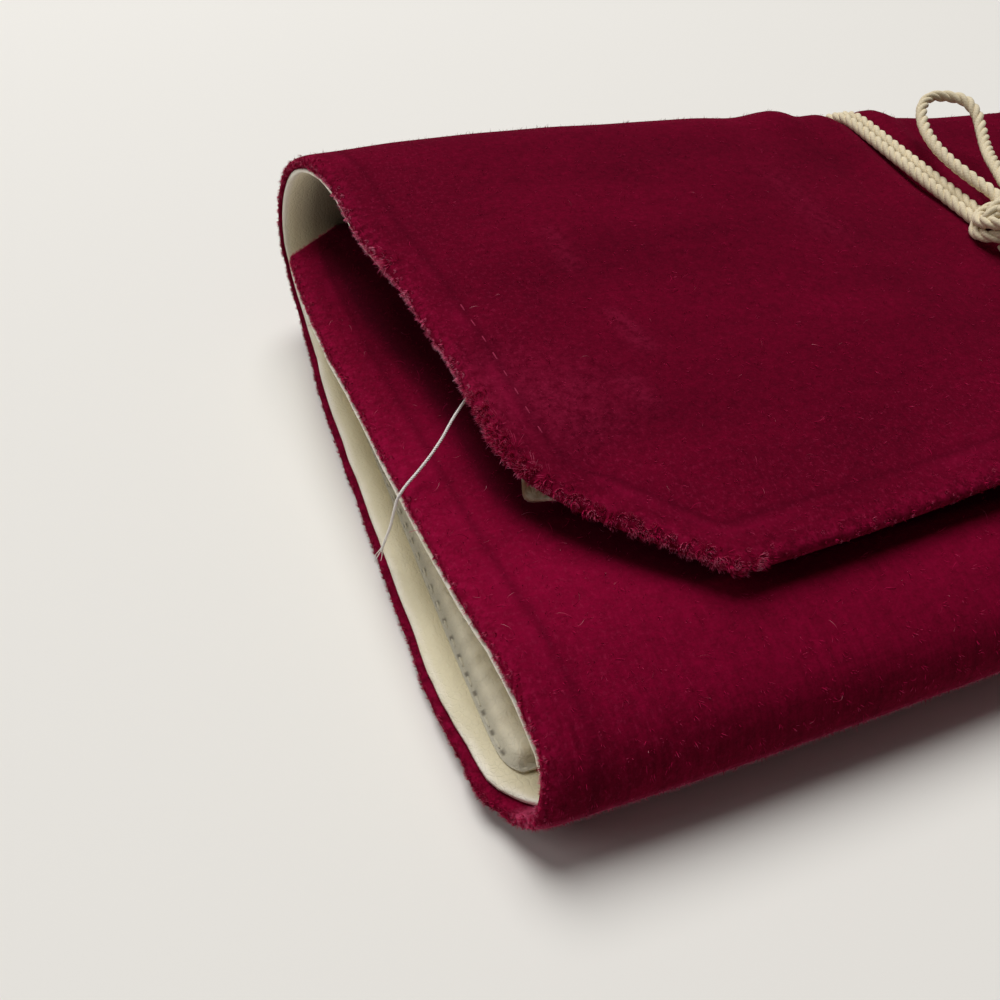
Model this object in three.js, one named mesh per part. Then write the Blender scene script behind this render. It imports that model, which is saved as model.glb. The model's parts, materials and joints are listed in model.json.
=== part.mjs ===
// Folded velvet jewellery roll: one lined sheet folded in three, tied round the middle with a cord bow.
// Millimetres, +X along the folds, +Y to the rolled back edge, +Z up, resting on the middle panel.
import * as THREE from 'three';

// Sheet
const rollWidth = 200;          // along the folds
const coverThickness = 1.6;     // velvet with its pile
const liningThickness = 0.8;
const layerGap = 0.3;           // between the layers of the sheet
const liningSetback = 0.8;      // the lining ends this far inside the velvet's cut edges

// Panels, measured along the face between velvet and lining
const baseBackReach = 60.4;      // middle of the base to the back of the rolled edge
const baseFrontFlat = 20;       // middle of the base to where the front starts to rise
const frontRise = 26.2;         // stretch of the base that lifts off the table to the front fold
const frontCrown = 12;          // stretch of the front panel that bends level after the fold
const frontPanelLength = 86.8;
const frontFoldHollow = 2.8;    // the tie draws the front fold in by this much
const flapLength = 83.4;
const flapHollow = 5;           // the tie draws the flap's end back by this much
const flapHollowShare = 0.9;    // share of half the flap's end over which it is drawn back
const flapCornerShare = 0.79;   // share of the flap's length where the cut corner starts

// How far the cut edge lies inside half the roll's width
const baseEdge = -0.7;
const frontFoldEdge = 3.2;
const frontPanelEdge = 5.4;
const crownEdge = 4.4;
const hemEdge = 0;
const flapRootEdge = 5;
const flapCornerEdge = 13;
const flapEndEdge = 29.5;

// Section at the left end, at the tie and at the right end: radii of the rolled back edge and of the
// front fold, slope of the flap, lift of the base to the front fold, and how the front panel leaves it
const leftEnd = {
  backRadius: 15.7,
  frontFoldRadius: 4.7,
  flapSlopeDegrees: 9,
  frontLiftDegrees: 7.5,
  panelLeaveDegrees: 27.3,
  panelLevelDegrees: 26.3,
};
const atTie = {
  backRadius: 11.6,
  frontFoldRadius: 2.5,
  flapSlopeDegrees: 8,
  frontLiftDegrees: 8,
  panelLeaveDegrees: 3,
  panelLevelDegrees: 3,
};
const rightEnd = {
  backRadius: 10.6,
  frontFoldRadius: 3.6,
  flapSlopeDegrees: 4,
  frontLiftDegrees: 10,
  panelLeaveDegrees: 8,
  panelLevelDegrees: 7.5,
};
const tiePower = 3.6;           // how quickly the section grows away from the tie

// Pocket panel sewn on the base lining
const pocketThickness = 0.6;
const pocketSideMargin = 6.5;
const pocketBackMargin = 7.6;   // from the pocket's back edge to where the base starts to roll up
const pocketFrontShare = 0.86;  // share of the rising stretch that the pocket covers

// Tie cord
const cordDiameter = 1.8;
const cordClearance = 0.4;      // between the cord and the velvet
const cordGap = 0.3;            // between pieces of the cord
const wrapSpacing = 5;          // between the points that carry a turn of the tie
const tieOffset = 0;            // of the knot, from the roll's middle along X
const tieSlantShare = 0.02;     // X travel of the tie for each millimetre of Y
const knotY = 9;                // from the middle of the base
const knotSize = [8.4, 9.2, 6];
const tieGrooveFlatShare = 0.04; // shares of half the roll's width over which the base rides on the cord
const tieGrooveEndShare = 0.13;

// Loose sewing thread that hangs from the flap's side
const threadDiameter = 0.5;

// Rows along the sheet in each stretch, and columns across it
const rows = { panel: 7, crown: 4, fold: 8, rise: 5, frontFlat: 2, backFlat: 3, back: 12, flap: 8 };
const columns = [-1, -0.81, -0.62, -0.44, -0.27, -tieGrooveEndShare, -0.085, -tieGrooveFlatShare, 0,
  tieGrooveFlatShare, 0.085, tieGrooveEndShare, 0.27, 0.44, 0.62, 0.81, 1];

const lerp = THREE.MathUtils.lerp;
const smooth = (t) => THREE.MathUtils.smoothstep(t, 0, 1);
const radians = THREE.MathUtils.degToRad;

const velvet = new THREE.MeshStandardMaterial({ name: 'velvet', color: 0x640020, roughness: 0.95 });
const leather = new THREE.MeshStandardMaterial({ name: 'lining', color: 0xd4caa8, roughness: 0.6 });
const cotton = new THREE.MeshStandardMaterial({ name: 'cord', color: 0xd7c8a5, roughness: 0.85 });

// Section shape between the ends and the tie; across runs from -1 at the left edge to 1 at the right
function stationAt(across) {
  const end = across < 0 ? leftEnd : rightEnd;
  const away = Math.max(0, Math.abs(across) - tieGrooveFlatShare) / (1 - tieGrooveFlatShare);
  const share = 1 - (1 - away) ** tiePower;
  const station = {};
  for (const name of Object.keys(atTie)) station[name] = lerp(atTie[name], end[name], share);
  return station;
}

// The base rides over the two turns of cord that pass under it
function tieLift(across) {
  const room = cordDiameter + 2 * cordClearance;
  return room * smooth((tieGrooveEndShare - Math.abs(across)) / (tieGrooveEndShare - tieGrooveFlatShare));
}

// Follow stretches of constant bend from a start on the base; side is 1 to the back and -1 to the front
function follow(startZ, side, stretches) {
  const found = [];
  let heading = side > 0 ? 0 : Math.PI;
  let y = 0;
  let z = startZ;
  const note = (part, share) => {
    found.push({ part, share, y, z, normalY: Math.sin(heading) * side, normalZ: -Math.cos(heading) * side });
  };
  for (const [part, length, degrees] of stretches) {
    const count = rows[part];
    const turn = (radians(degrees) * side) / count;
    const chord = (length / count) * (Math.abs(turn) < 1e-9 ? 1 : Math.sin(turn / 2) / (turn / 2));
    for (let i = 0; i < count; i += 1) {
      note(part, i / count);
      y += chord * Math.cos(heading + turn / 2);
      z += chord * Math.sin(heading + turn / 2);
      heading += turn;
    }
  }
  note(stretches.at(-1)[0], 1);
  return found;
}

// Flat stretch of the base in front of its middle; the tie draws the front fold in
const frontFlatAt = (across) => baseFrontFlat - frontFoldHollow * smooth(1 - Math.abs(across));

// One section of the sheet from the front panel's hem, round the front fold and the back, to the flap's end
function sectionAt(across) {
  const station = stationAt(across);
  const startZ = coverThickness + tieLift(across);
  const backTurn = 180 + station.flapSlopeDegrees;
  const foldTurn = 180 - station.frontLiftDegrees - station.panelLeaveDegrees;
  const toBack = follow(startZ, 1, [
    ['backFlat', baseBackReach - station.backRadius, 0],
    ['back', radians(backTurn) * station.backRadius, backTurn],
    ['flap', flapLength - flapHollow * smooth((1 - Math.abs(across)) / flapHollowShare), 0],
  ]);
  const toFront = follow(startZ, -1, [
    ['frontFlat', frontFlatAt(across), 0],
    ['rise', frontRise, station.frontLiftDegrees],
    ['fold', radians(foldTurn) * station.frontFoldRadius, foldTurn],
    ['crown', frontCrown, station.panelLevelDegrees],
    ['panel', frontPanelLength, 0],
  ]);
  return [...toFront.reverse(), ...toBack.slice(1)];
}

// Distance of the cut edge from half the roll's width, at a place along the sheet
function edgeInset(part, share) {
  if (part === 'rise') return lerp(baseEdge, frontFoldEdge, share ** 3.7);
  if (part === 'fold') return lerp(frontFoldEdge, frontPanelEdge, share);
  if (part === 'crown') return lerp(frontPanelEdge, crownEdge, share);
  if (part === 'panel') return lerp(crownEdge, hemEdge, Math.min(1, share * 1.5) ** 0.7);
  if (part === 'back') return lerp(baseEdge, flapRootEdge, Math.max(0, (share - 0.4) / 0.6) ** 1.6);
  if (part === 'flap' && share <= flapCornerShare) {
    return lerp(flapRootEdge, flapCornerEdge, (share / flapCornerShare) ** 0.8);
  }
  if (part === 'flap') {
    return lerp(flapCornerEdge, flapEndEdge, (share - flapCornerShare) / (1 - flapCornerShare));
  }
  return baseEdge;
}

// The tie crosses the roll at a slight slant, and the sheet's middle columns follow it
const tieX = (y) => tieOffset + tieSlantShare * (y - knotY);

function placeOnSheet(across, row, offset, inset) {
  const y = row.y + row.normalY * offset;
  const z = row.z + row.normalZ * offset;
  const half = rollWidth / 2 - inset;
  const x = across * half + tieX(y) * (1 - across * across) ** 2;
  return new THREE.Vector3(x, y, z);
}

// Closed solid between two grids of points that share rows and columns
function slab(upper, lower) {
  const rowCount = upper.length;
  const columnCount = upper[0].length;
  const layer = rowCount * columnCount;
  const positions = [];
  for (const grid of [upper, lower]) {
    for (const line of grid) for (const point of line) positions.push(point.x, point.y, point.z);
  }
  const at = (r, c) => r * columnCount + c;
  const index = [];
  const quad = (a, b, c, d) => index.push(a, b, c, a, c, d);
  for (let r = 0; r + 1 < rowCount; r += 1) {
    for (let c = 0; c + 1 < columnCount; c += 1) {
      quad(at(r, c), at(r + 1, c), at(r + 1, c + 1), at(r, c + 1));
      quad(layer + at(r, c), layer + at(r, c + 1), layer + at(r + 1, c + 1), layer + at(r + 1, c));
    }
  }
  const rim = [];
  for (let c = 0; c < columnCount; c += 1) rim.push(at(0, c));
  for (let r = 1; r < rowCount; r += 1) rim.push(at(r, columnCount - 1));
  for (let c = columnCount - 2; c >= 0; c -= 1) rim.push(at(rowCount - 1, c));
  for (let r = rowCount - 2; r > 0; r -= 1) rim.push(at(r, 0));
  rim.forEach((a, i) => {
    const b = rim[(i + 1) % rim.length];
    quad(a, b, layer + b, layer + a);
  });
  const geometry = new THREE.BufferGeometry();
  geometry.setAttribute('position', new THREE.Float32BufferAttribute(positions, 3));
  geometry.setIndex(index);
  geometry.computeVertexNormals();
  return geometry;
}

// Rows of the flap include the start of the cut corner, so that the corner is sharp
const flapRow = Math.round(flapCornerShare * rows.flap) / rows.flap;
function cornered(section) {
  const start = section.findIndex((row) => row.part === 'flap' && row.share >= flapRow);
  const a = section.findIndex((row) => row.part === 'flap');
  const first = section[a];
  const last = section.at(-1);
  return section.map((row, i) => {
    if (i !== start) return row;
    const y = lerp(first.y, last.y, flapCornerShare);
    const z = lerp(first.z, last.z, flapCornerShare);
    return { ...row, share: flapCornerShare, y, z };
  });
}

const sections = columns.map((across) => cornered(sectionAt(across)));

function sheetGrid(offset, setback) {
  const rowCount = sections[0].length;
  const grid = [];
  for (let r = 0; r < rowCount; r += 1) {
    grid.push(columns.map((across, c) => {
      const row = sections[c][r];
      return placeOnSheet(across, row, offset, edgeInset(row.part, row.share) + setback);
    }));
  }
  return grid;
}

const liningOuter = -layerGap;
const liningInner = -layerGap - liningThickness;
const coverSolid = slab(sheetGrid(coverThickness, 0), sheetGrid(0, 0));
const liningSolid = slab(sheetGrid(liningOuter, liningSetback), sheetGrid(liningInner, liningSetback));

// Pocket panel: follows the base lining from near the front fold to short of the rolled back edge
const pocketBack = baseBackReach - Math.max(leftEnd.backRadius, rightEnd.backRadius) - pocketBackMargin;
function pocketSectionAt(across) {
  const startZ = coverThickness + tieLift(across);
  const liftDegrees = stationAt(across).frontLiftDegrees;
  const toBack = follow(startZ, 1, [['backFlat', pocketBack, 0]]);
  const toFront = follow(startZ, -1, [
    ['frontFlat', frontFlatAt(across), 0],
    ['rise', frontRise * pocketFrontShare, liftDegrees * pocketFrontShare],
  ]);
  return [...toFront.reverse(), ...toBack.slice(1)];
}
const pocketSections = columns.map(pocketSectionAt);
function pocketGrid(offset) {
  return pocketSections[0].map((unused, r) => columns.map((across, c) => (
    placeOnSheet(across, pocketSections[c][r], offset, pocketSideMargin)
  )));
}
const pocketOuter = liningInner - layerGap;
const pocketSolid = slab(pocketGrid(pocketOuter), pocketGrid(pocketOuter - pocketThickness));

// Tube of a cord along a smooth route
function tube(route, diameter, steps) {
  const ring = new THREE.Shape();
  ring.absarc(0, 0, diameter / 2, 0, 2 * Math.PI, false);
  const extrudePath = new THREE.CatmullRomCurve3(route, false, 'centripetal');
  return new THREE.ExtrudeGeometry(ring, { steps, curveSegments: 4, extrudePath });
}

// Taut line round the outside of a section, as the side below it and the side above it
function tautLine(points) {
  const sorted = [...points].sort((a, b) => a.x - b.x || a.y - b.y);
  const half = (list) => {
    const kept = [];
    for (const p of list) {
      while (kept.length > 1) {
        const [a, b] = kept.slice(-2);
        if ((b.x - a.x) * (p.y - a.y) - (b.y - a.y) * (p.x - a.x) > 1e-6) break;
        kept.pop();
      }
      kept.push(p);
    }
    return kept;
  };
  return { below: half(sorted), above: half(sorted.reverse()) };
}

const tieSection = sections[columns.indexOf(0)];
const tieStandoff = coverThickness + cordClearance + cordDiameter / 2;
const tieLine = tautLine(tieSection.map((row) => new THREE.Vector2(
  row.y + row.normalY * tieStandoff,
  row.z + row.normalZ * tieStandoff,
)));

// Height of the flap's velvet above the table, over a place on it
function flapTop(x, y) {
  const across = THREE.MathUtils.clamp((x - tieX(y)) / (rollWidth / 2), -1, 1);
  const isTop = (row) => row.part === 'flap' || (row.part === 'back' && row.share > 0.5);
  const line = sectionAt(across).filter(isTop).map((row) => [
    row.y + row.normalY * coverThickness,
    row.z + row.normalZ * coverThickness,
  ]);
  for (let i = 0; i + 1 < line.length; i += 1) {
    const [nearY, nearZ] = line[i];
    const [farY, farZ] = line[i + 1];
    if (y <= nearY && y >= farY) return lerp(nearZ, farZ, (nearY - y) / (nearY - farY));
  }
  return y > line[0][0] ? line[0][1] : line.at(-1)[1];
}

// One turn of the tie, from the knot over the front, under the base, round the back and to the knot again
function wrapRoute(sideStep) {
  const knotRoom = knotSize[1] / 2 + cordGap;
  const onTop = (y) => {
    const ahead = tieLine.above.findIndex((p) => p.x < y);
    const [near, far] = tieLine.above.slice(ahead - 1, ahead + 1);
    return near.clone().lerp(far, (near.x - y) / (near.x - far.x));
  };
  const start = onTop(knotY - knotRoom);
  const finish = onTop(knotY + knotRoom);
  const corners = [
    start,
    ...tieLine.above.filter((p) => p.x < start.x),
    ...tieLine.below.slice(1),
    ...tieLine.above.slice(1).filter((p) => p.x > finish.x),
    finish,
  ];
  const route = [];
  corners.forEach((p, i) => {
    const next = corners[i + 1] ?? p;
    const pieces = Math.max(1, Math.ceil(p.distanceTo(next) / wrapSpacing));
    for (let k = 0; k < pieces; k += 1) route.push(p.clone().lerp(next, k / pieces));
  });
  return route.map((p) => new THREE.Vector3(tieX(p.x) + sideStep, p.x, p.y));
}

const turnStep = (cordDiameter + cordGap) / 2;

// Bow: places on the flap as X, Y and the cord's height over the velvet
const loopBack = [[2, 13.9, 4.2], [2, 18.5, 4], [1.8, 24, 3.9], [2, 30, 3.9], [3.2, 35.6, 4.2],
  [5.6, 40, 5.4], [9.2, 42.4, 7.2], [13, 42, 8.6], [15.5, 39.3, 9], [15.1, 35.8, 8.2], [13.4, 32.2, 7.2],
  [11.2, 28.2, 6.3], [8.6, 24, 5.6], [6.7, 20, 5.2], [5.2, 16.2, 4.8], [4, 12.5, 4.4]];
const loopSide = [[4.6, 10.1, 5.3], [8.4, 14.4, 4.6], [12.2, 19.4, 4.3], [16.6, 26.6, 4.6], [20.8, 33, 5.3],
  [25.5, 37.2, 6], [30.3, 38, 6.2], [33.6, 35, 5.9], [32.6, 30.4, 5.3], [28.9, 26.2, 4.8], [23.2, 20.8, 4.2],
  [16.6, 14.8, 3.8], [10.4, 9.9, 3.8], [4.9, 7.5, 4.2]];
const tailFront = [[1.6, 3.9, 4.2], [3.6, 0.2, 3.2], [6.8, -4.6, 2.2], [10.8, -10, 2], [15.5, -15, 2],
  [21.5, -19, 2], [28, -20.5, 2], [35, -19, 2]];
const tailSide = [[3.8, 5.7, 2.9], [7.6, 3.4, 2.3], [12.5, 2.2, 2], [19.5, 1.2, 2], [27, 0.8, 2],
  [34.5, 2, 2], [42, 5, 2], [49, 8.5, 2]];
const onFlap = (points) => points.map(([x, y, rise]) => new THREE.Vector3(x, y, flapTop(x, y) + rise));

// Loose thread: from under the flap's side, across the open side of the roll, to the base's edge
const threadRoute = [[-87.6, -4.2, 23.1], [-89.2, -5.8, 22.7], [-90.6, -7.2, 22.2], [-92.2, -8.7, 21.2],
  [-94.2, -10.2, 20], [-96.2, -11.4, 18.9], [-97.8, -12.3, 18.1], [-98.9, -12.8, 17], [-99.4, -12.2, 14.6],
  [-99.7, -11, 11.6], [-100.1, -9.6, 8.6], [-100.6, -8.4, 5.8], [-101.2, -7.4, 3.4],
].map(([x, y, z]) => new THREE.Vector3(x, y, z));

const roll = new THREE.Group();
const add = (name, geometry, material) => {
  const mesh = new THREE.Mesh(geometry, material);
  mesh.name = name;
  roll.add(mesh);
  return mesh;
};

add('velvet_cover', coverSolid, velvet);
add('lining', liningSolid, leather);
add('pocket_panel', pocketSolid, leather);
add('tie_turn_left', tube(wrapRoute(-turnStep), cordDiameter, 72), cotton);
add('tie_turn_right', tube(wrapRoute(turnStep), cordDiameter, 72), cotton);
add('bow_loop_back', tube(onFlap(loopBack), cordDiameter, 26), cotton);
add('bow_loop_side', tube(onFlap(loopSide), cordDiameter, 26), cotton);
add('tie_tail_front', tube(onFlap(tailFront), cordDiameter, 14), cotton);
add('tie_tail_side', tube(onFlap(tailSide), cordDiameter, 14), cotton);
add('loose_thread', tube(threadRoute, threadDiameter, 16), cotton);

// Knot: a rounded lump on the flap where the turns, loops and tails meet
const knot = add('bow_knot', new THREE.SphereGeometry(0.5, 12, 8).scale(...knotSize), cotton);
const knotX = tieX(knotY);
knot.position.set(knotX, knotY, flapTop(knotX, knotY) + cordClearance + knotSize[2] / 2);

// The origin lies under the middle of the cover's box
coverSolid.computeBoundingBox();
const middle = coverSolid.boundingBox.getCenter(new THREE.Vector3());
roll.position.set(-middle.x, -middle.y, 0);

export default roll;
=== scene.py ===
import json
import math

import bpy
import numpy as np
from mathutils import Vector, noise
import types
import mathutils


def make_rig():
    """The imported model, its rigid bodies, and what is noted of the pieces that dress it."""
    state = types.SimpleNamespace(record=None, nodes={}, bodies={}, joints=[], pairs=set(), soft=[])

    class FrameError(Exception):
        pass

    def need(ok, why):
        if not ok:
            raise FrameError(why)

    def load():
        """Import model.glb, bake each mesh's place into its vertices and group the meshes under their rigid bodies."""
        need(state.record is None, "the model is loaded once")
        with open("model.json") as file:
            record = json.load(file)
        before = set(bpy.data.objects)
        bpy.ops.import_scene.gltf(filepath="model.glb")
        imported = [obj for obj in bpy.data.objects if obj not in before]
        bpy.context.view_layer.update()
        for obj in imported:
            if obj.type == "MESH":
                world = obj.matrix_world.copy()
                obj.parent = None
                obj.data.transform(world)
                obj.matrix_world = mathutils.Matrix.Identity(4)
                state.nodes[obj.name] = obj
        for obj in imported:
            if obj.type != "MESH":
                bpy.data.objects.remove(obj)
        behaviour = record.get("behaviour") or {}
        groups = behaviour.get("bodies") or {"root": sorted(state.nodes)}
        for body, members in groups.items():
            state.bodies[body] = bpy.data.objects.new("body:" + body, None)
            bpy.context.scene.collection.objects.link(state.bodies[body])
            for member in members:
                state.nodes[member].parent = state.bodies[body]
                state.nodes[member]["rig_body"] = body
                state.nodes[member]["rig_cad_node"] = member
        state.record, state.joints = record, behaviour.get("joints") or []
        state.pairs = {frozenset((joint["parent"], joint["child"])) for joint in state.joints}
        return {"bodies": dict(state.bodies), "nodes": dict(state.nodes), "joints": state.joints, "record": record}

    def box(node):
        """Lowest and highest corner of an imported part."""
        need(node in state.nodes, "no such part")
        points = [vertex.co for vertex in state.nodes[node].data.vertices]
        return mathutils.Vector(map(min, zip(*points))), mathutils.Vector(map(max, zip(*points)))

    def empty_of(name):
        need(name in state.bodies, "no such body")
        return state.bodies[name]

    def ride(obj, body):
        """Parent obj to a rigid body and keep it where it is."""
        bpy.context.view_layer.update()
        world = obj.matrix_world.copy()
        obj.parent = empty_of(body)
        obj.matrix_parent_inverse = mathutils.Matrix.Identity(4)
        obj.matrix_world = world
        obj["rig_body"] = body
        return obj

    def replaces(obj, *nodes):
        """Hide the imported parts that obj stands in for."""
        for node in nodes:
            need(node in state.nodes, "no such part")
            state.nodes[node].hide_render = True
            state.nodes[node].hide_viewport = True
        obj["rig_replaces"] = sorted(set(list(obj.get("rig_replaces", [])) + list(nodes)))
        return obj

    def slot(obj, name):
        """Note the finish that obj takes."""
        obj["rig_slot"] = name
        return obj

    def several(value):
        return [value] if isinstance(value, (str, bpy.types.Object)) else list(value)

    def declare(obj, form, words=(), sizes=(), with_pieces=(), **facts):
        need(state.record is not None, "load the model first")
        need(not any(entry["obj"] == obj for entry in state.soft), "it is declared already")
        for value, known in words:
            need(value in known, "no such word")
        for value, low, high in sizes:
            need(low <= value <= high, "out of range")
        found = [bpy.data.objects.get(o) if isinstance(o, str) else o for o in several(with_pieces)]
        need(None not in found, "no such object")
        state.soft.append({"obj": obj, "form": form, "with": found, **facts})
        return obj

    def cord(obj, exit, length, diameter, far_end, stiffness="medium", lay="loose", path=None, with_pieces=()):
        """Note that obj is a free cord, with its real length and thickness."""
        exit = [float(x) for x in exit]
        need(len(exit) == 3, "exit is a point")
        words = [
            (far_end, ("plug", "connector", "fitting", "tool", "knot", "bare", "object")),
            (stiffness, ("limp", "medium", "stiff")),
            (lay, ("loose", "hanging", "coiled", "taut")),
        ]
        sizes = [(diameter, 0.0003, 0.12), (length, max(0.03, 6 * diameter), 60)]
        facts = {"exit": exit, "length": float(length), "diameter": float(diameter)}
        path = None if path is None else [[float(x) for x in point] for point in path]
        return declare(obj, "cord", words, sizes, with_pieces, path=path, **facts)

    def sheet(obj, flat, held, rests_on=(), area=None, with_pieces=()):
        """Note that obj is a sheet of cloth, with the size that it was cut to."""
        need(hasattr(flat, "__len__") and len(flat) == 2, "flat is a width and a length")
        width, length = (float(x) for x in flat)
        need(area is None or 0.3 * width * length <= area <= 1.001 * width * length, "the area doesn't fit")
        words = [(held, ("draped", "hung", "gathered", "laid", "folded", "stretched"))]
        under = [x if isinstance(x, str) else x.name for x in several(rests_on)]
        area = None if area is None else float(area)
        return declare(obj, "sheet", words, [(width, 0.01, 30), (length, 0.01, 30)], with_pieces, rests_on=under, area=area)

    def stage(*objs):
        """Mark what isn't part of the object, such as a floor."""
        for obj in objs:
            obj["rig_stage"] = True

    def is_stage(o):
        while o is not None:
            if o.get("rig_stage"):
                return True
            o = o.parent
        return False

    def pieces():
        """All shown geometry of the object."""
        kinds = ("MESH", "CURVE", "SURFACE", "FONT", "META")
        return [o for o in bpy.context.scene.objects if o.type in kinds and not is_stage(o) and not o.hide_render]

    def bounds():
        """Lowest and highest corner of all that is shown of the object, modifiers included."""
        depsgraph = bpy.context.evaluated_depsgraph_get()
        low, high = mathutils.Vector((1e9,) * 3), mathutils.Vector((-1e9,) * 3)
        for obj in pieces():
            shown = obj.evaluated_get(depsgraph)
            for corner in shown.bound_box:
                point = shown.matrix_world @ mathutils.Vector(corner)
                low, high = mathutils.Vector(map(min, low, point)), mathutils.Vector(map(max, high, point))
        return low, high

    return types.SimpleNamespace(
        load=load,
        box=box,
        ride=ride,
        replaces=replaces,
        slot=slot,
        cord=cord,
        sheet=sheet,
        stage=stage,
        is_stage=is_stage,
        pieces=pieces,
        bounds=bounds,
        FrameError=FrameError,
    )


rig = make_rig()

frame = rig.load()
cadLow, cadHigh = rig.bounds()
mm = 0.001

# The sheet is worked out in millimetres about the middle of its base, which the knot's place gives
knotY = 9.0
knotLow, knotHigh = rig.box("bow_knot")
sheetShift = ((knotLow.x + knotHigh.x) / 2 / mm, (knotLow.y + knotHigh.y) / 2 / mm - knotY, 0.0)
print("frame loaded, sheet shift", [round(v, 3) for v in sheetShift])


# Small helpers for nodes and meshes
def operator(operation, swapped=False):
    # what a sign between two sockets, or a socket and a number, does
    def method(wire, other):
        values = (other, wire) if swapped else (wire, other)
        return wire.board.sum(operation, *values)
    return method


class Wire:
    # a socket that can be used in sums
    def __init__(self, board, socket):
        self.board = board
        self.socket = socket

    __add__ = operator("ADD")
    __radd__ = operator("ADD", True)
    __sub__ = operator("SUBTRACT")
    __rsub__ = operator("SUBTRACT", True)
    __mul__ = operator("MULTIPLY")
    __rmul__ = operator("MULTIPLY", True)
    __truediv__ = operator("DIVIDE")
    __rtruediv__ = operator("DIVIDE", True)


class Board:
    # a node tree that nodes are put on
    def __init__(self, tree):
        self.tree = tree

    def node(self, kind, settings=None, sockets=None):
        made = self.tree.nodes.new(kind)
        for name, value in (settings or {}).items():
            if name == "stops":
                self.setStops(made.color_ramp.elements, value)
            else:
                setattr(made, name, value)
        for name, value in (sockets or {}).items():
            if isinstance(value, Wire):
                self.tree.links.new(value.socket, made.inputs[name])
            else:
                made.inputs[name].default_value = value
        return made

    def setStops(self, elements, stops):
        while len(elements) < len(stops):
            elements.new(0.5)
        for element, (place, colour) in zip(elements, stops):
            element.position = place
            element.color = (*colour[:3], 1.0)

    def wires(self, node, *outputs):
        return [Wire(self, node.outputs[out]) for out in outputs]

    def add(self, kind, settings=None, sockets=None, out=0):
        return Wire(self, self.node(kind, settings, sockets).outputs[out])

    def sum(self, operation, *values):
        return self.add("ShaderNodeMath", {"operation": operation}, dict(enumerate(values)))

    def vector(self, operation, sockets):
        return self.add("ShaderNodeVectorMath", {"operation": operation}, sockets)

    def random(self, low, high, seed):
        sockets = {2: low, 3: high, "Seed": seed}
        return self.add("FunctionNodeRandomValue", {"data_type": "FLOAT"}, sockets, out=1)

    def attribute(self, name):
        # a number kept on the mesh
        return self.add("ShaderNodeAttribute", {"attribute_name": name}, out=2)

    def place(self):
        # object coordinates
        return self.add("ShaderNodeTexCoord", out=3)

    def mix(self, factor, first, second):
        return self.add("ShaderNodeMix", {"data_type": "RGBA"}, {0: factor, 6: first, 7: second}, out=2)

    def step(self, value, low, high):
        settings = {"interpolation_type": "SMOOTHSTEP"}
        return self.add("ShaderNodeMapRange", settings, {0: value, 1: low, 2: high})

    def noise(self, vector, scale, detail=2.0, rough=0.5, stretch=None):
        if stretch:
            vector = self.add("ShaderNodeMapping", None, {"Vector": vector, "Scale": stretch})
        sockets = {"Vector": vector, "Scale": scale, "Detail": detail, "Roughness": rough}
        return self.add("ShaderNodeTexNoise", None, sockets)

    def ramp(self, value, *stops):
        return self.add("ShaderNodeValToRGB", {"stops": stops}, {0: value})

    def bump(self, height, strength, distance):
        sockets = {"Height": height, "Strength": strength, "Distance": distance}
        return self.add("ShaderNodeBump", None, sockets)

    def keep(self, geometry, name, value, domain="POINT"):
        # stores a value on the geometry by name
        settings = {"data_type": "FLOAT", "domain": domain}
        sockets = {"Geometry": geometry, "Name": name, "Value": value}
        return self.add("GeometryNodeStoreNamedAttribute", settings, sockets)

    def deliver(self, geometry, material):
        # ends a tree of Geometry Nodes
        geometry = self.add("GeometryNodeRealizeInstances", None, {"Geometry": geometry})
        geometry = self.add("GeometryNodeSetMaterial", None, {"Geometry": geometry, "Material": material})
        self.node("NodeGroupOutput", None, {0: geometry})


def newTree(name, sizes):
    # a tree of Geometry Nodes with named inputs and their starting values
    kinds = {int: "NodeSocketInt", float: "NodeSocketFloat", str: "NodeSocketObject"}
    tree = bpy.data.node_groups.new(name, "GeometryNodeTree")
    tree.interface.new_socket("Geometry", in_out="INPUT", socket_type="NodeSocketGeometry")
    for label, value in sizes.items():
        kind = kinds.get(type(value), "NodeSocketMaterial")
        made = tree.interface.new_socket(label, in_out="INPUT", socket_type=kind)
        if isinstance(value, (int, float)):
            made.default_value = value
    tree.interface.new_socket("Geometry", in_out="OUTPUT", socket_type="NodeSocketGeometry")
    board = Board(tree)
    given = board.node("NodeGroupInput")
    return tree, board, {socket.name: Wire(board, socket) for socket in given.outputs}


def runNodes(name, source, tree, sizes):
    # puts the tree on the source, sets its inputs and gives back the plain mesh it makes
    modifier = source.modifiers.new("nodes", "NODES")
    modifier.node_group = tree
    for item in tree.interface.items_tree:
        if item.in_out == "INPUT" and item.name in sizes:
            modifier[item.identifier] = sizes[item.name]
    bpy.context.view_layer.update()
    graph = bpy.context.evaluated_depsgraph_get()
    mesh = bpy.data.meshes.new_from_object(source.evaluated_get(graph), depsgraph=graph)
    mesh.name = name
    source.modifiers.remove(modifier)
    return mesh


def newMaterial(name, **constant):
    material = bpy.data.materials.new(name)
    material.use_nodes = True
    shader = material.node_tree.nodes["Principled BSDF"]
    for label, value in constant.items():
        shader.inputs[label.replace("_", " ")].default_value = value
    return material, Board(material.node_tree), shader


def feed(shader, **wires):
    for label, wire in wires.items():
        wire.board.tree.links.new(wire.socket, shader.inputs[label.replace("_", " ")])


def rgb(*levels):
    # a colour as read off a picture, turned to the linear values that nodes take
    shares = [level / 255 for level in levels]
    linear = [v / 12.92 if v <= 0.04045 else ((v + 0.055) / 1.055) ** 2.4 for v in shares]
    return (*linear, 1.0)


def link(name, data, material=None):
    made = bpy.data.objects.new(name, data)
    bpy.context.scene.collection.objects.link(made)
    if material:
        data.materials.append(material)
    return made


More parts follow.
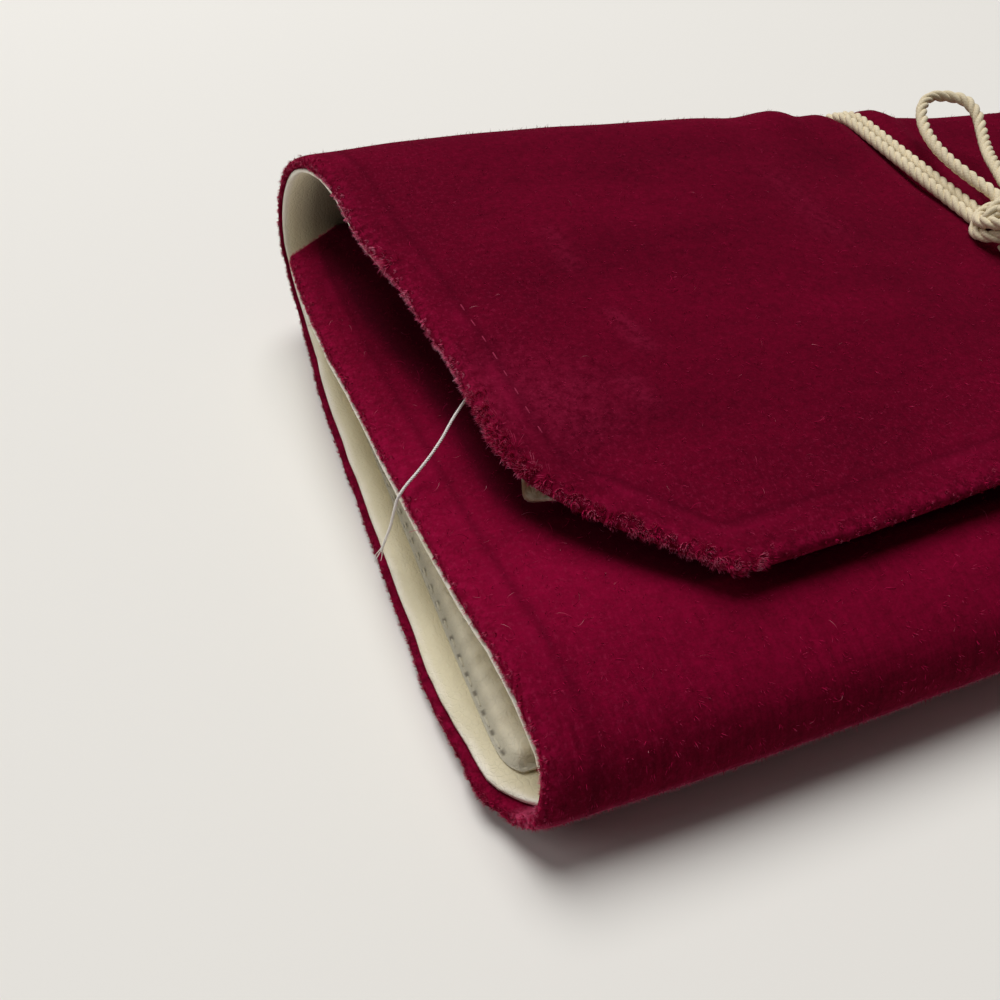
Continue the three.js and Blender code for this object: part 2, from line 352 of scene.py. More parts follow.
def newMesh(name, points, faces, smoothed=True):
    mesh = bpy.data.meshes.new(name)
    mesh.from_pydata(points, [], faces)
    mesh.polygons.foreach_set("use_smooth", [smoothed] * len(faces))
    return mesh


def dropTemporary(made):
    data = made.data
    store = bpy.data.meshes if isinstance(data, bpy.types.Mesh) else bpy.data.curves
    bpy.data.objects.remove(made)
    store.remove(data)


def finishPiece(piece, slotName, *nodes):
    if nodes:
        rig.replaces(piece, *nodes)
    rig.ride(piece, "root")
    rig.slot(piece, slotName)
    return piece


def setFloat(mesh, name, values):
    layer = mesh.attributes.new(name, "FLOAT", "POINT")
    layer.data.foreach_set("value", np.asarray(values, np.float32).ravel())


def toFrame(points):
    return (np.asarray(points, float) + np.array(sheetShift)) * mm


def lerp(a, b, t):
    return a + (b - a) * t


def smooth(t):
    t = np.clip(t, 0.0, 1.0)
    return t * t * (3 - 2 * t)


def unit(vectors):
    return vectors / np.maximum(np.linalg.norm(vectors, axis=-1, keepdims=True), 1e-9)


# Camera: stands at the left end, looks down at the front corner
cameraSettings = {"place": (-116.25, -99.84, 90.54), "pitch": 40.0, "heading": 18.85, "lens": 36.0,
                  "sensor": 36.0, "clipStart": 0.005}
cameraData = bpy.data.cameras.new("photoCamera")
cameraData.sensor_width = cameraSettings["sensor"]
cameraData.lens = cameraSettings["lens"]
cameraData.clip_start = cameraSettings["clipStart"]
camera = link("photoCamera", cameraData)
camera.location = Vector(toFrame(cameraSettings["place"]))
camera.rotation_euler = (math.radians(90 - cameraSettings["pitch"]), 0,
                         math.radians(-cameraSettings["heading"]))
bpy.context.scene.camera = camera
print("camera placed")

# Folded sheet: sections of constant bend at the left end, the tie and the right end
cut = {
    "rollWidth": 200.0, "coverThickness": 1.6, "liningThickness": 0.8, "layerGap": 0.3, "liningSetback": 0.8,
    "baseBackReach": 60.4, "baseFrontFlat": 20.0, "frontRise": 26.2, "frontCrown": 12.0,
    "frontPanelLength": 86.8, "frontFoldHollow": 2.8, "flapLength": 83.4, "flapHollow": 5.0,
    "flapHollowShare": 0.9, "flapCornerShare": 0.79, "tiePower": 3.6, "tieSlant": 0.02, "grooveFlat": 0.04,
    "grooveEnd": 0.13,
    # how far the cut sides lie inside half the width, and how they run from one place to the next
    "baseEdge": -0.7, "frontFoldEdge": 3.2, "frontPanelEdge": 5.4, "crownEdge": 4.4, "hemEdge": 0.0,
    "flapRootEdge": 5.0, "flapCornerEdge": 13.0, "flapEndEdge": 29.5, "riseCurve": 3.7, "panelSpeed": 1.5,
    "panelCurve": 0.7, "backFrom": 0.4, "backCurve": 1.6, "flapCurve": 0.8,
    # radii of the back and the front fold, flap slope, front lift, leave and level of the front panel
    "leftEnd": (15.7, 4.7, 9.0, 7.5, 27.3, 26.3),
    "atTie": (11.6, 2.5, 8.0, 8.0, 3.0, 3.0),
    "rightEnd": (10.6, 3.6, 4.0, 10.0, 8.0, 7.5),
    # rows crowd towards the flap's end and the hem
    "flapCrowd": 1.25, "hemCrowd": 1.12,
}
cordCut = {"diameter": 1.8, "clearance": 0.4, "gap": 0.3, "spacing": 5.0, "knotLength": 9.2, "tuck": 2.2,
           "rest": 0.1}
halfWidth = cut["rollWidth"] / 2


def stationAt(across):
    end = cut["leftEnd"] if across < 0 else cut["rightEnd"]
    away = max(0.0, abs(across) - cut["grooveFlat"]) / (1 - cut["grooveFlat"])
    share = 1 - (1 - away) ** cut["tiePower"]
    return [lerp(a, b, share) for a, b in zip(cut["atTie"], end)]


def startHeight(across):
    # the base lifts off the table to let the tie pass
    room = cordCut["diameter"] + 2 * cordCut["clearance"]
    lifted = float(smooth((cut["grooveEnd"] - abs(across)) / (cut["grooveEnd"] - cut["grooveFlat"])))
    return cut["coverThickness"] + room * lifted


def bentPoint(y, z, heading, length, turn, share):
    # a point on a stretch that starts at y, z and bends evenly by turn
    if abs(turn) < 1e-9:
        return y + length * share * math.cos(heading), z + length * share * math.sin(heading)
    radius = length / turn
    bent = heading + turn * share
    return (y + radius * (math.sin(bent) - math.sin(heading)),
            z - radius * (math.cos(bent) - math.cos(heading)))


def follow(startZ, side, stretches, shares):
    # points and outward normals along stretches of constant bend
    heading = 0.0 if side > 0 else math.pi
    y, z = 0.0, startZ
    found = []
    for part, length, degrees in stretches:
        turn = math.radians(degrees) * side
        for share in shares[part]:
            bent = heading + turn * share
            at = bentPoint(y, z, heading, length, turn, share)
            found.append((part, share, *at, math.sin(bent) * side, -math.cos(bent) * side))
        y, z = bentPoint(y, z, heading, length, turn, 1.0)
        heading += turn
    return found


def stretchesAt(across):
    radius, foldRadius, slope, lift, leave, level = stationAt(across)
    inward = 1 - abs(across)
    backTurn = 180 + slope
    foldTurn = 180 - lift - leave
    toBack = [
        ("backFlat", cut["baseBackReach"] - radius, 0),
        ("back", math.radians(backTurn) * radius, backTurn),
        ("flap", cut["flapLength"] - cut["flapHollow"] * float(smooth(inward / cut["flapHollowShare"])), 0),
    ]
    toFront = [
        ("frontFlat", cut["baseFrontFlat"] - cut["frontFoldHollow"] * float(smooth(inward)), 0),
        ("rise", cut["frontRise"], lift),
        ("fold", math.radians(foldTurn) * foldRadius, foldTurn),
        ("crown", cut["frontCrown"], level),
        ("panel", cut["frontPanelLength"], 0),
    ]
    return toBack, toFront


def sectionAt(across, shares):
    # from the front panel's hem, round the front fold and the back, to the flap's end
    toBack, toFront = stretchesAt(across)
    startZ = startHeight(across)
    front = follow(startZ, -1, toFront, shares)
    return front[::-1] + follow(startZ, 1, toBack, shares)[1:]


def edgeInset(part, share):
    # how far the cut side lies inside half the roll's width
    corner = cut["flapCornerShare"]
    if part == "rise":
        return lerp(cut["baseEdge"], cut["frontFoldEdge"], share ** cut["riseCurve"])
    if part == "fold":
        return lerp(cut["frontFoldEdge"], cut["frontPanelEdge"], share)
    if part == "crown":
        return lerp(cut["frontPanelEdge"], cut["crownEdge"], share)
    if part == "panel":
        return lerp(cut["crownEdge"], cut["hemEdge"], min(1, share * cut["panelSpeed"]) ** cut["panelCurve"])
    if part == "back":
        late = max(0, (share - cut["backFrom"]) / (1 - cut["backFrom"]))
        return lerp(cut["baseEdge"], cut["flapRootEdge"], late ** cut["backCurve"])
    if part == "flap" and share <= corner:
        return lerp(cut["flapRootEdge"], cut["flapCornerEdge"], (share / corner) ** cut["flapCurve"])
    if part == "flap":
        return lerp(cut["flapCornerEdge"], cut["flapEndEdge"], (share - corner) / (1 - corner))
    return cut["baseEdge"]


def tieX(y):
    return cut["tieSlant"] * (y - knotY)


def evenShares(counts, flapPieces=(40, 14), stops=(1.0, 1.0)):
    # shares of each stretch from 0, short of 1 apart from the hem and the flap's end
    shares = {part: list(np.arange(n) / n) for part, n in counts.items()}
    corner = cut["flapCornerShare"]
    ends = 1 - (1 - np.linspace(0, 1, flapPieces[1] + 1)) ** cut["flapCrowd"]
    toCorner = np.linspace(0, corner, flapPieces[0], endpoint=False)
    shares["flap"] = [*toCorner, *lerp(corner, stops[1], ends)]
    toHem = 1 - (1 - np.linspace(0, 1, counts["panel"] + 1)) ** cut["hemCrowd"]
    shares["panel"] = list(stops[0] * toHem)
    return shares


# Routes of the tie: the taut turns round the roll and the bow on the flap
tieBite = {"depth": 1.7, "width": 3.7, "edge": 2.6, "backFrom": 0.2, "backOver": 0.35, "fadeFrom": 0.22,
           "fadeTo": 0.44}
upperBack = 0.5  # share of the back past which its velvet faces up
tieRows = {"panel": 7, "crown": 4, "fold": 8, "rise": 5, "frontFlat": 2, "backFlat": 3, "back": 12}


def tautLine(points):
    ordered = sorted(map(tuple, points))

    def half(found):
        kept = []
        for p in found:
            while len(kept) > 1:
                a, b = kept[-2:]
                if (b[0] - a[0]) * (p[1] - a[1]) - (b[1] - a[1]) * (p[0] - a[0]) > 1e-6:
                    break
                kept.pop()
            kept.append(p)
        return kept
    return half(ordered), half(ordered[::-1])


def biteAt(part, share):
    # how far the tie sinks into the cloth over the back, nothing at the knot
    if part == "back":
        return tieBite["depth"] * float(smooth((share - tieBite["backFrom"]) / tieBite["backOver"]))
    if part == "flap":
        fade = (tieBite["fadeTo"] - share) / (tieBite["fadeTo"] - tieBite["fadeFrom"])
        return tieBite["depth"] * float(smooth(fade))
    return 0.0


tieShares = evenShares(tieRows)
standoff = cut["coverThickness"] + cordCut["rest"] + cordCut["diameter"] / 2
tiePoints = []
for part, share, y, z, ny, nz in sectionAt(0.0, tieShares):
    off = standoff - biteAt(part, share)
    tiePoints.append((y + ny * off, z + nz * off))
tieBelow, tieAbove = tautLine(tiePoints)


def heightOn(line, y):
    # height of a line whose Y falls from point to point
    for near, far in zip(line, line[1:]):
        if far[0] <= y <= near[0]:
            return lerp(near[1], far[1], (near[0] - y) / (near[0] - far[0]))
    return line[0][1] if y > line[0][0] else line[-1][1]


def flapTop(x, y):
    # height of the flap's velvet
    across = max(-1.0, min(1.0, (x - tieX(y)) / halfWidth))
    thick = cut["coverThickness"]
    line = [(sy + ny * thick, sz + nz * thick) for part, share, sy, sz, ny, nz in sectionAt(across, tieShares)
            if part == "flap" or (part == "back" and share > upperBack)]
    return heightOn(line, y)


def wrapRoute(sideStep):
    # one turn of the tie, from the knot over the front, under the base and round the back
    room = cordCut["knotLength"] / 2 - cordCut["tuck"]
    start, finish = [(y, heightOn(tieAbove, y)) for y in (knotY - room, knotY + room)]
    corners = [start, *[p for p in tieAbove if p[0] < start[0]], *tieBelow[1:],
               *[p for p in tieAbove[1:] if p[0] > finish[0]], finish]
    route = []
    for p, following in zip(corners, corners[1:]):
        pieces = max(1, math.ceil(math.dist(p, following) / cordCut["spacing"]))
        for k in range(pieces):
            route.append((lerp(p[0], following[0], k / pieces), lerp(p[1], following[1], k / pieces)))
    route.append(corners[-1])
    return [(tieX(y) + sideStep, y, z) for y, z in route]


bowRoutes = {
    # places on the flap as X, Y and height over the velvet, in millimetres
    "bowLoopBack": [(1.4, 11.4, 3.6), (2, 13.9, 4.2), (2, 18.5, 4), (1.9, 24, 3.9), (2.6, 30, 3.9),
                    (4.3, 35.6, 4.2), (6.7, 39.8, 5.4), (9.6, 41.8, 7.2), (12.4, 41.1, 8.5),
                    (14.2, 38.6, 8.9), (14.3, 35.4, 8.2), (13, 32, 7.2), (11, 28.2, 6.3), (8.6, 24, 5.6),
                    (6.7, 20, 5.2), (5.2, 16.2, 4.8), (4, 12.5, 4.4), (2.8, 10.2, 4)],
    "bowLoopSide": [(2.4, 8.2, 4.6), (4.6, 10.1, 5.3), (8.4, 14.4, 4.6), (12.2, 19.4, 4.3),
                    (16.6, 26.6, 4.6), (20.8, 33, 5.3), (25.5, 37.2, 6), (30.3, 38, 6.2), (33.6, 35, 5.9),
                    (32.6, 30.4, 5.3), (28.9, 26.2, 4.8), (23.2, 20.8, 4.2), (16.6, 14.8, 3.8),
                    (10.4, 9.9, 3.8), (4.9, 7.5, 4.2), (2.4, 6.9, 4)],
    "tieTailFront": [(0.8, 6.4, 4.2), (1.6, 3.9, 4.2), (3.6, 0.2, 3.2), (6.8, -4.6, 2.2), (10.8, -10, 2),
                     (15.5, -15, 2), (21.5, -19, 2), (28, -20.5, 2), (35, -19, 2)],
    "tieTailSide": [(1.6, 7, 3.1), (3.8, 5.7, 2.9), (7.6, 3.4, 2.3), (12.5, 2.2, 2), (19.5, 1.2, 2),
                    (27, 0.8, 2), (34.5, 2, 2), (42, 5, 2), (49, 8.5, 2)],
}
threadRoute = [(-87.6, -4.2, 23.1), (-89.2, -5.8, 22.7), (-90.6, -7.2, 22.2), (-92.2, -8.7, 21.2),
               (-94.2, -10.2, 20), (-96.2, -11.4, 18.9), (-97.8, -12.3, 18.1), (-98.9, -12.8, 17),
               (-99.4, -12.2, 14.6), (-99.7, -11, 11.6), (-100.1, -9.6, 8.6), (-100.6, -8.4, 5.8),
               (-101.2, -7.4, 3.4)]


def smoothRoute(points, step, pieces=24):
    # centripetal spline through the points, with even steps
    p = [np.array(q, float) for q in points]
    p = [2 * p[0] - p[1], *p, 2 * p[-1] - p[-2]]
    line = []
    for a, b, c, d in zip(p, p[1:], p[2:], p[3:]):
        t0, t1 = 0.0, math.sqrt(np.linalg.norm(b - a))
        t2 = t1 + math.sqrt(np.linalg.norm(c - b))
        t3 = t2 + math.sqrt(np.linalg.norm(d - c))
        for t in np.linspace(t1, t2, pieces, endpoint=False):
            ab = lerp(a, b, (t - t0) / (t1 - t0))
            bc = lerp(b, c, (t - t1) / (t2 - t1))
            cd = lerp(c, d, (t - t2) / (t3 - t2))
            abc = lerp(ab, bc, (t - t0) / (t2 - t0))
            bcd = lerp(bc, cd, (t - t1) / (t3 - t1))
            line.append(lerp(abc, bcd, (t - t1) / (t2 - t1)))
    line.append(p[-2])
    line = np.array(line)
    along = np.concatenate([[0], np.cumsum(np.linalg.norm(np.diff(line, axis=0), axis=1))])
    at = np.linspace(0, along[-1], max(2, math.ceil(along[-1] / step) + 1))
    return np.stack([np.interp(at, along, line[:, k]) for k in range(3)], axis=1), along[-1]


# Twisted cord: strands wound about a route
cordTwist = {"strands": 3, "pitch": 5.8, "step": 0.3, "strandRadius": 0.48, "windRadius": 0.46, "sides": 9}
# a loose end: where the twist stops and the strands part, how far, and how thin they get
looseEnd = {"full": 10, "twistTo": 0.93, "partFrom": 0.9, "spread": 0.6, "spreadStep": 0.25, "thin": 0.55,
            "tailFray": 0.7, "threadFray": 4.0}
cottonLook = {"fuzz": (2600.0, 3.0, 0.6), "shade": (160.0, 2.0), "plies": 3, "unevenPly": 2.2,
              "darkAt": 0.15, "lightAt": 0.6, "sheenTint": (1.0, 0.95, 0.85, 1.0), "relief": 0.0001,
              # how much ridge, fuzz and shade count
              "tone": (0.12, 0.5, 0.45), "height": (0.18, 0.7), "bump": 0.45}


def cottonMaterial(name, light, dark, fibre, sheen=0.3, gloss=0.25):
    material, board, shader = newMaterial(
        name, Roughness=0.8, Sheen_Weight=sheen, Sheen_Roughness=0.5, Specular_IOR_Level=gloss,
        Sheen_Tint=cottonLook["sheenTint"])
    place = board.place()
    fuzz = board.noise(place, *cottonLook["fuzz"])
    shade = board.noise(place, *cottonLook["shade"])
    ply = board.attribute("along") * (math.tau / (fibre * mm))
    ply = ply + board.attribute("around") * (math.tau * cottonLook["plies"]) + fuzz * cottonLook["unevenPly"]
    ridge = board.sum("SINE", ply) * 0.5 + 0.5
    ridgeTone, fuzzTone, shadeTone = cottonLook["tone"]
    tone = ridge * ridgeTone + fuzz * fuzzTone + shade * shadeTone
    colour = board.ramp(tone, (cottonLook["darkAt"], dark), (cottonLook["lightAt"], light))
    ridgeHeight, fuzzHeight = cottonLook["height"]
    height = ridge * ridgeHeight + fuzz * fuzzHeight
    feed(shader, Base_Color=colour, Normal=board.bump(height, cottonLook["bump"], cottonLook["relief"]))
    return material


twistedCotton = cottonMaterial("twistedCotton", (0.8, 0.69, 0.48), (0.5, 0.41, 0.26), 0.42)
sewingThread = cottonMaterial("sewingThread", (0.97, 0.92, 0.89), (0.88, 0.81, 0.77), 0.3)


def twistTree():
    tree, board, value = newTree("twistStrands", {
        "Strands": 3, "Pitch": 0.0035, "Step": 0.0003, "Strand Radius": 0.0005, "Wind Radius": 0.0005,
        "Sides": 7, "Fray": 0.0, "Material": None})
    even = board.add("GeometryNodeResampleCurve", {"mode": "LENGTH"},
                     {"Curve": value["Geometry"], "Length": value["Step"]})
    copies = board.node("GeometryNodeDuplicateElements", {"domain": "SPLINE"},
                        {"Geometry": even, "Amount": value["Strands"]})
    strands, number = board.wires(copies, 0, "Duplicate Index")
    reached, length = board.wires(board.node("GeometryNodeSplineParameter"), "Factor", "Length")
    strands = board.keep(strands, "along", length)
    # a frayed end stops twisting and its strands part
    loose = board.sum("MINIMUM", value["Fray"] * looseEnd["full"], 1.0)
    held = board.sum("MINIMUM", 1.0, looseEnd["twistTo"] / board.sum("MAXIMUM", reached, 0.001))
    wound = length * (1 - loose * (1 - held))
    turn = wound * math.tau / value["Pitch"] + number * math.tau / value["Strands"]
    apart = board.step(reached, looseEnd["partFrom"], 1.0) * loose
    spread = looseEnd["spread"] + number * looseEnd["spreadStep"]
    wind = value["Wind Radius"] * (1 + apart * value["Fray"] * spread)
    normal = board.add("GeometryNodeInputNormal")
    sideways = board.vector("CROSS_PRODUCT", {0: board.add("GeometryNodeInputTangent"), 1: normal})
    up = board.vector("SCALE", {0: normal, "Scale": board.sum("COSINE", turn) * wind})
    over = board.vector("SCALE", {0: sideways, "Scale": board.sum("SINE", turn) * wind})
    strands = board.add("GeometryNodeSetPosition", None,
                        {"Geometry": strands, "Offset": board.vector("ADD", {0: up, 1: over})})
    ring = board.add("GeometryNodeCurvePrimitiveCircle", None,
                     {"Resolution": value["Sides"], "Radius": value["Strand Radius"]})
    ring = board.keep(ring, "around", board.add("GeometryNodeSplineParameter"))
    tube = board.add("GeometryNodeCurveToMesh", None, {
        "Curve": strands, "Profile Curve": ring, "Scale": 1 - apart * looseEnd["thin"], "Fill Caps": True})
    tube = board.add("GeometryNodeSetShadeSmooth", None, {"Geometry": tube})
    board.deliver(tube, value["Material"])
    return tree


twistStrands = twistTree()


def routeCurve(*lines):
    data = bpy.data.curves.new("route", "CURVE")
    data.dimensions = "3D"
    for points in lines:
        spline = data.splines.new("POLY")
        spline.points.add(len(points) - 1)
        weighted = np.column_stack([points, np.ones(len(points))])
        spline.points.foreach_set("co", weighted.astype(np.float32).ravel())
    return link("route", data)


def twistedCord(name, route, material, twist, fray=0.0):
    # a mesh of strands wound about a route, which is in the frame in metres
    curve = routeCurve(route)
    mesh = runNodes(name, curve, twistStrands, {
        "Strands": twist["strands"], "Pitch": twist["pitch"] * mm, "Step": twist["step"] * mm,
        "Strand Radius": twist["strandRadius"] * mm, "Wind Radius": twist["windRadius"] * mm,
        "Sides": twist["sides"], "Fray": fray, "Material": material})
    dropTemporary(curve)
    return mesh


def joinCords(name, meshes, material):
    points, faces, along, around = [], [], [], []
    for mesh in meshes:
        start = len(points)
        points += [tuple(v.co) for v in mesh.vertices]
        faces += [[start + i for i in p.vertices] for p in mesh.polygons]
        along += [d.value for d in mesh.attributes["along"].data]
        around += [d.value for d in mesh.attributes["around"].data]
        bpy.data.meshes.remove(mesh)
    joined = newMesh(name, points, faces)
    setFloat(joined, "along", along)
    setFloat(joined, "around", around)
    return link(name, joined, material)


cordNodes = {"bowLoopBack": "bow_loop_back", "bowLoopSide": "bow_loop_side",
             "tieTailFront": "tie_tail_front", "tieTailSide": "tie_tail_side",
             "tieTurnLeft": "tie_turn_left", "tieTurnRight": "tie_turn_right"}
turnStep = (cordCut["diameter"] + cordCut["gap"]) / 2
cordRoutes = {name: [(x, y, flapTop(x, y) + rise) for x, y, rise in points]
              for name, points in bowRoutes.items()}
cordRoutes["tieTurnLeft"] = wrapRoute(-turnStep)
cordRoutes["tieTurnRight"] = wrapRoute(turnStep)
cords = {}
for name, node in cordNodes.items():
    line, length = smoothRoute(cordRoutes[name], cordTwist["step"])
    path = toFrame(line)
    fray = looseEnd["tailFray"] if name.startswith("tieTail") else 0.0
    mesh = twistedCord(name, path, twistedCotton, cordTwist, fray)
    cords[name] = (finishPiece(link(name, mesh), "cord", node), path, length * mm)
print("cords laid", {name: round(made[2], 3) for name, made in cords.items()})

# Knot: two rings of cord round the crossing, with two bights over them
knotLay = {"ringTurn": 330.0, "ringHeights": (-0.75, 0.05), "ringFrom": 0.6, "ringSway": 0.25,
           "ringPoints": 46, "bights": ((25.0, 0.0), (-38.0, 0.4)), "bightPoints": 30, "bightOver": 0.15,
           "bightShift": 0.12, "bightLift": 0.1, "bightApart": 1.6, "bightSink": 0.2}


def knotRoutes():
    centre = (np.array(knotLow) + np.array(knotHigh)) / 2
    half = (np.array(knotHigh) - np.array(knotLow)) / 2 - cordCut["diameter"] / 2 * mm
    turn = math.radians(knotLay["ringTurn"])
    for height in knotLay["ringHeights"]:
        start = knotLay["ringFrom"] + height
        angles = np.linspace(start, start + turn, knotLay["ringPoints"])
        level = height + knotLay["ringSway"] * np.sin(angles * 2 + height)
        yield centre + half * np.column_stack([np.cos(angles), np.sin(angles), level])
    over = knotLay["bightOver"]
    for degrees, lift in knotLay["bights"]:
        angles = np.linspace(-over, math.pi + over, knotLay["bightPoints"])
        a = math.radians(degrees)
        apart = math.copysign(knotLay["bightApart"] * mm, degrees)
        shift = half[1] * knotLay["bightShift"] * math.sin(a)
        level = np.sin(angles) * (1 + knotLay["bightLift"] * lift)
        bight = half * np.column_stack([np.cos(angles) * math.cos(a), np.cos(angles) * math.sin(a), level])
        yield centre + bight + np.array([-shift, apart, -knotLay["bightSink"] * mm])


knotMeshes = [twistedCord("bowKnot", route, twistedCotton, cordTwist) for route in knotRoutes()]
bowKnot = finishPiece(joinCords("bowKnot", knotMeshes, twistedCotton), "cord", "bow_knot")
for name, (piece, path, length) in cords.items():
    farEnd = "bare" if name.startswith("tieTail") else "object"
    lay = "taut" if name.startswith("tieTurn") else "loose"
    carried = [bowKnot] if name == "bowLoopBack" else []
    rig.cord(piece, exit=tuple(path[0]), length=length, diameter=cordCut["diameter"] * mm, far_end=farEnd,
            stiffness="limp", lay=lay, path=path.tolist(), with_pieces=carried)

# Loose thread from under the flap, with its end coming apart
threadTwist = {"strands": 4, "pitch": 1.3, "step": 0.12, "strandRadius": 0.085, "windRadius": 0.105,
               "sides": 6, "diameter": 0.5, "routeStep": 0.15}
threadLine, threadLength = smoothRoute(threadRoute, threadTwist["routeStep"])
threadPath = toFrame(threadLine)
threadMesh = twistedCord("looseThread", threadPath, sewingThread, threadTwist, looseEnd["threadFray"])
looseThread = finishPiece(link("looseThread", threadMesh), "thread", "loose_thread")
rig.cord(looseThread, exit=tuple(threadPath[0]), length=threadLength * mm,
        diameter=threadTwist["diameter"] * mm, far_end="bare", stiffness="limp", lay="hanging",
        path=threadPath.tolist())
print("knot and thread made")

# The sheet as fine grids of points: rows of each stretch, and columns that crowd towards the cut edges
gridFine = {"panel": 58, "crown": 12, "fold": 14, "rise": 22, "frontFlat": 13, "backFlat": 30, "back": 38}
gridColumns = {"near": (0.0, 0.45, 0.95, 1.5, 2.2, 3.1, 4.2), "innerFrom": 5.4, "innerLength": 95}
wobble = {
    # slow waves as amount, size and seed, how far from the tie they are full, and how free each stretch is
    "waves": ((0.55, 31.0, 3.1), (0.2, 11.0, 8.6)), "calmOver": 0.25,
    "free": {"backFlat": 0.0, "frontFlat": 0.0, "fold": 0.5, "crown": 0.8}, "backFree": 0.5,
    # the hem runs further back near the left end
    "hemReach": 10.0, "hemSlope": 0.95, "hemFrom": 14, "hemOver": 25, "hemCurve": 3,
    # swellings of the back beside the tie: place, width and amount
    "backBulge": 1.9, "swells": ((-0.155, 0.06, 1.0), (0.12, 0.07, 0.4)), "swellBefore": 6.0,
    "swellLength": 9.0,
    # the flap's left end hangs lower
    "flapDip": 1.0, "dipFrom": 0.6, "dipOver": 0.3, "dipSide": -0.15, "dipAcross": 0.3,
    # unevenness of the cut sides, with worn corners and fuller ends of the front fold
    "edgeWave": 0.16, "leftEdge": ((1.0, 7.0, 21.0), (0.5, 7 / 3, 26.0)), "rightAt": 50,
    "rightEdge": ((1.0, 7.0, 22.0), (0.5, 7 / 3, 27.0)), "cornerWear": 1.3, "cornerSpread": 3.2,
    "frontBulge": 1.5, "bulgeSpread": 4.2, "nearSides": 6,
}
# where the cut sides draw in (more than 0) or stand out: stretch, share of it, spread and amount
sideShifts = (("back", 0.12, 12.0, 1.0), ("panel", 0.85, 16.0, -0.8), ("flap", 0.2, 10.0, -1.1),
              ("flap", 0.68, 7.0, -0.5), ("flap", 0.81, 4.0, 0.9), ("flap", 0.92, 7.5, 1.5))
uvLength = 100.0  # millimetres to one unit of the sheet's UV map


def columnPlaces(step):
    # shares of half the width
    inner = np.linspace(gridColumns["innerFrom"], halfWidth, int(gridColumns["innerLength"] / step))
    side = 1 - np.concatenate([gridColumns["near"], inner]) / halfWidth
    return np.concatenate([-side, side[-2::-1]])


def waveAt(u, v, waves):
    # sum of waves, each with an amount, a size and a seed
    return sum(amount * noise.noise(Vector((u / size, v / size, seed))) for amount, size, seed in waves)


def bell(away, width):
    return np.exp(-(away / width) ** 2)


def rowValues(grid, rule):
    # one value for each row, from its stretch and its share of that
    return np.array([rule(part, share) for part, share in zip(grid["part"], grid["share"])])


def rowsOf(grid, *parts):
    return np.array([part in parts for part in grid["part"]])


def gridOf(columns, sections):
    # rows of the sections as arrays of row by column
    first = sections[0]
    shares = np.array([row[1] for row in first])
    grid = {"columns": columns, "part": [row[0] for row in first], "share": shares}
    for k, label in enumerate(("y", "z", "ny", "nz"), 2):
        grid[label] = np.array([[section[r][k] for section in sections] for r in range(len(first))])
    steps = np.hypot(np.diff(grid["y"][:, 0]), np.diff(grid["z"][:, 0]))
    grid["along"] = np.concatenate([[0], np.cumsum(steps)])
    return grid


def freedom(part, share):
    # how freely a stretch waves: the base lies still on the table
    if part == "rise":
        return share * wobble["free"]["fold"]
    if part == "back":
        return float(smooth(share / wobble["backFree"]))
    return wobble["free"].get(part, 1.0)


def sheetGrid(step, counts, flapPieces, stops):
    # middle surface of the folded sheet: points, normals and distances to the cut edges
    columns = columnPlaces(step)
    shares = evenShares(counts, flapPieces, stops)
    grid = gridOf(columns, [sectionAt(a, shares) for a in columns])
    along = grid["along"]
    grid["inset"] = rowValues(grid, edgeInset)
    grid["slope"] = np.gradient(grid["inset"], along)
    half = halfWidth - grid["inset"]
    fromLeft = (1 + columns) * halfWidth
    reach = np.minimum(wobble["hemReach"], wobble["hemSlope"] * fromLeft)
    reach = reach * (1 - smooth((fromLeft - wobble["hemFrom"]) / wobble["hemOver"]))
    panelShare = np.where(rowsOf(grid, "panel"), grid["share"], 0.0) ** wobble["hemCurve"]
    reach = reach[None, :] * panelShare[:, None]
    grid["y"] += reach * grid["nz"]
    grid["z"] -= reach * grid["ny"]
    grid["side"] = half[:, None] * (1 - np.abs(columns))[None, :] * np.cos(np.arctan(grid["slope"]))[:, None]
    grid["ends"] = np.minimum(along, along[-1] - along)
    grid["edge"] = np.minimum(grid["side"], grid["ends"][:, None])
    # slow waves in the cloth, still at the tie
    calm = smooth((np.abs(columns) - cut["grooveEnd"]) / wobble["calmOver"])
    waves = [[waveAt(a * h, v, wobble["waves"]) for a in columns] for h, v in zip(half, along)]
    grid["wave"] = np.array(waves) * calm[None, :] * rowValues(grid, freedom)[:, None]
    # the back swells beside the tie, the flap hangs at the left, and the tie sinks in
    beside = sum(amount * bell(columns - at, width) for at, width, amount in wobble["swells"])
    backEnd = along[grid["part"].index("flap")]
    overBack = bell(along - backEnd + wobble["swellBefore"], wobble["swellLength"])
    grid["wave"] += wobble["backBulge"] * overBack[:, None] * beside[None, :]
    dip = rowsOf(grid, "flap") * smooth((grid["share"] - wobble["dipFrom"]) / wobble["dipOver"])
    dipAcross = smooth((wobble["dipSide"] - columns) / wobble["dipAcross"])
    grid["wave"] -= wobble["flapDip"] * dip[:, None] * dipAcross[None, :]
    underTie = np.exp(-np.abs(columns * halfWidth / tieBite["width"]) ** tieBite["edge"])
    grid["wave"] -= rowValues(grid, biteAt)[:, None] * underTie[None, :]
    return grid


def placeGrid(grid, offset, sideIn):
    # points at an offset from the middle surface, with the cut sides drawn in
    lift = offset + grid["wave"]
    y = grid["y"] + grid["ny"] * lift
    z = grid["z"] + grid["nz"] * lift
    half = halfWidth - grid["inset"][:, None] - sideIn
    a = grid["columns"][None, :]
    x = a * half + tieX(y) * (1 - a * a) ** 2
    return np.stack([x, y, z], axis=2)


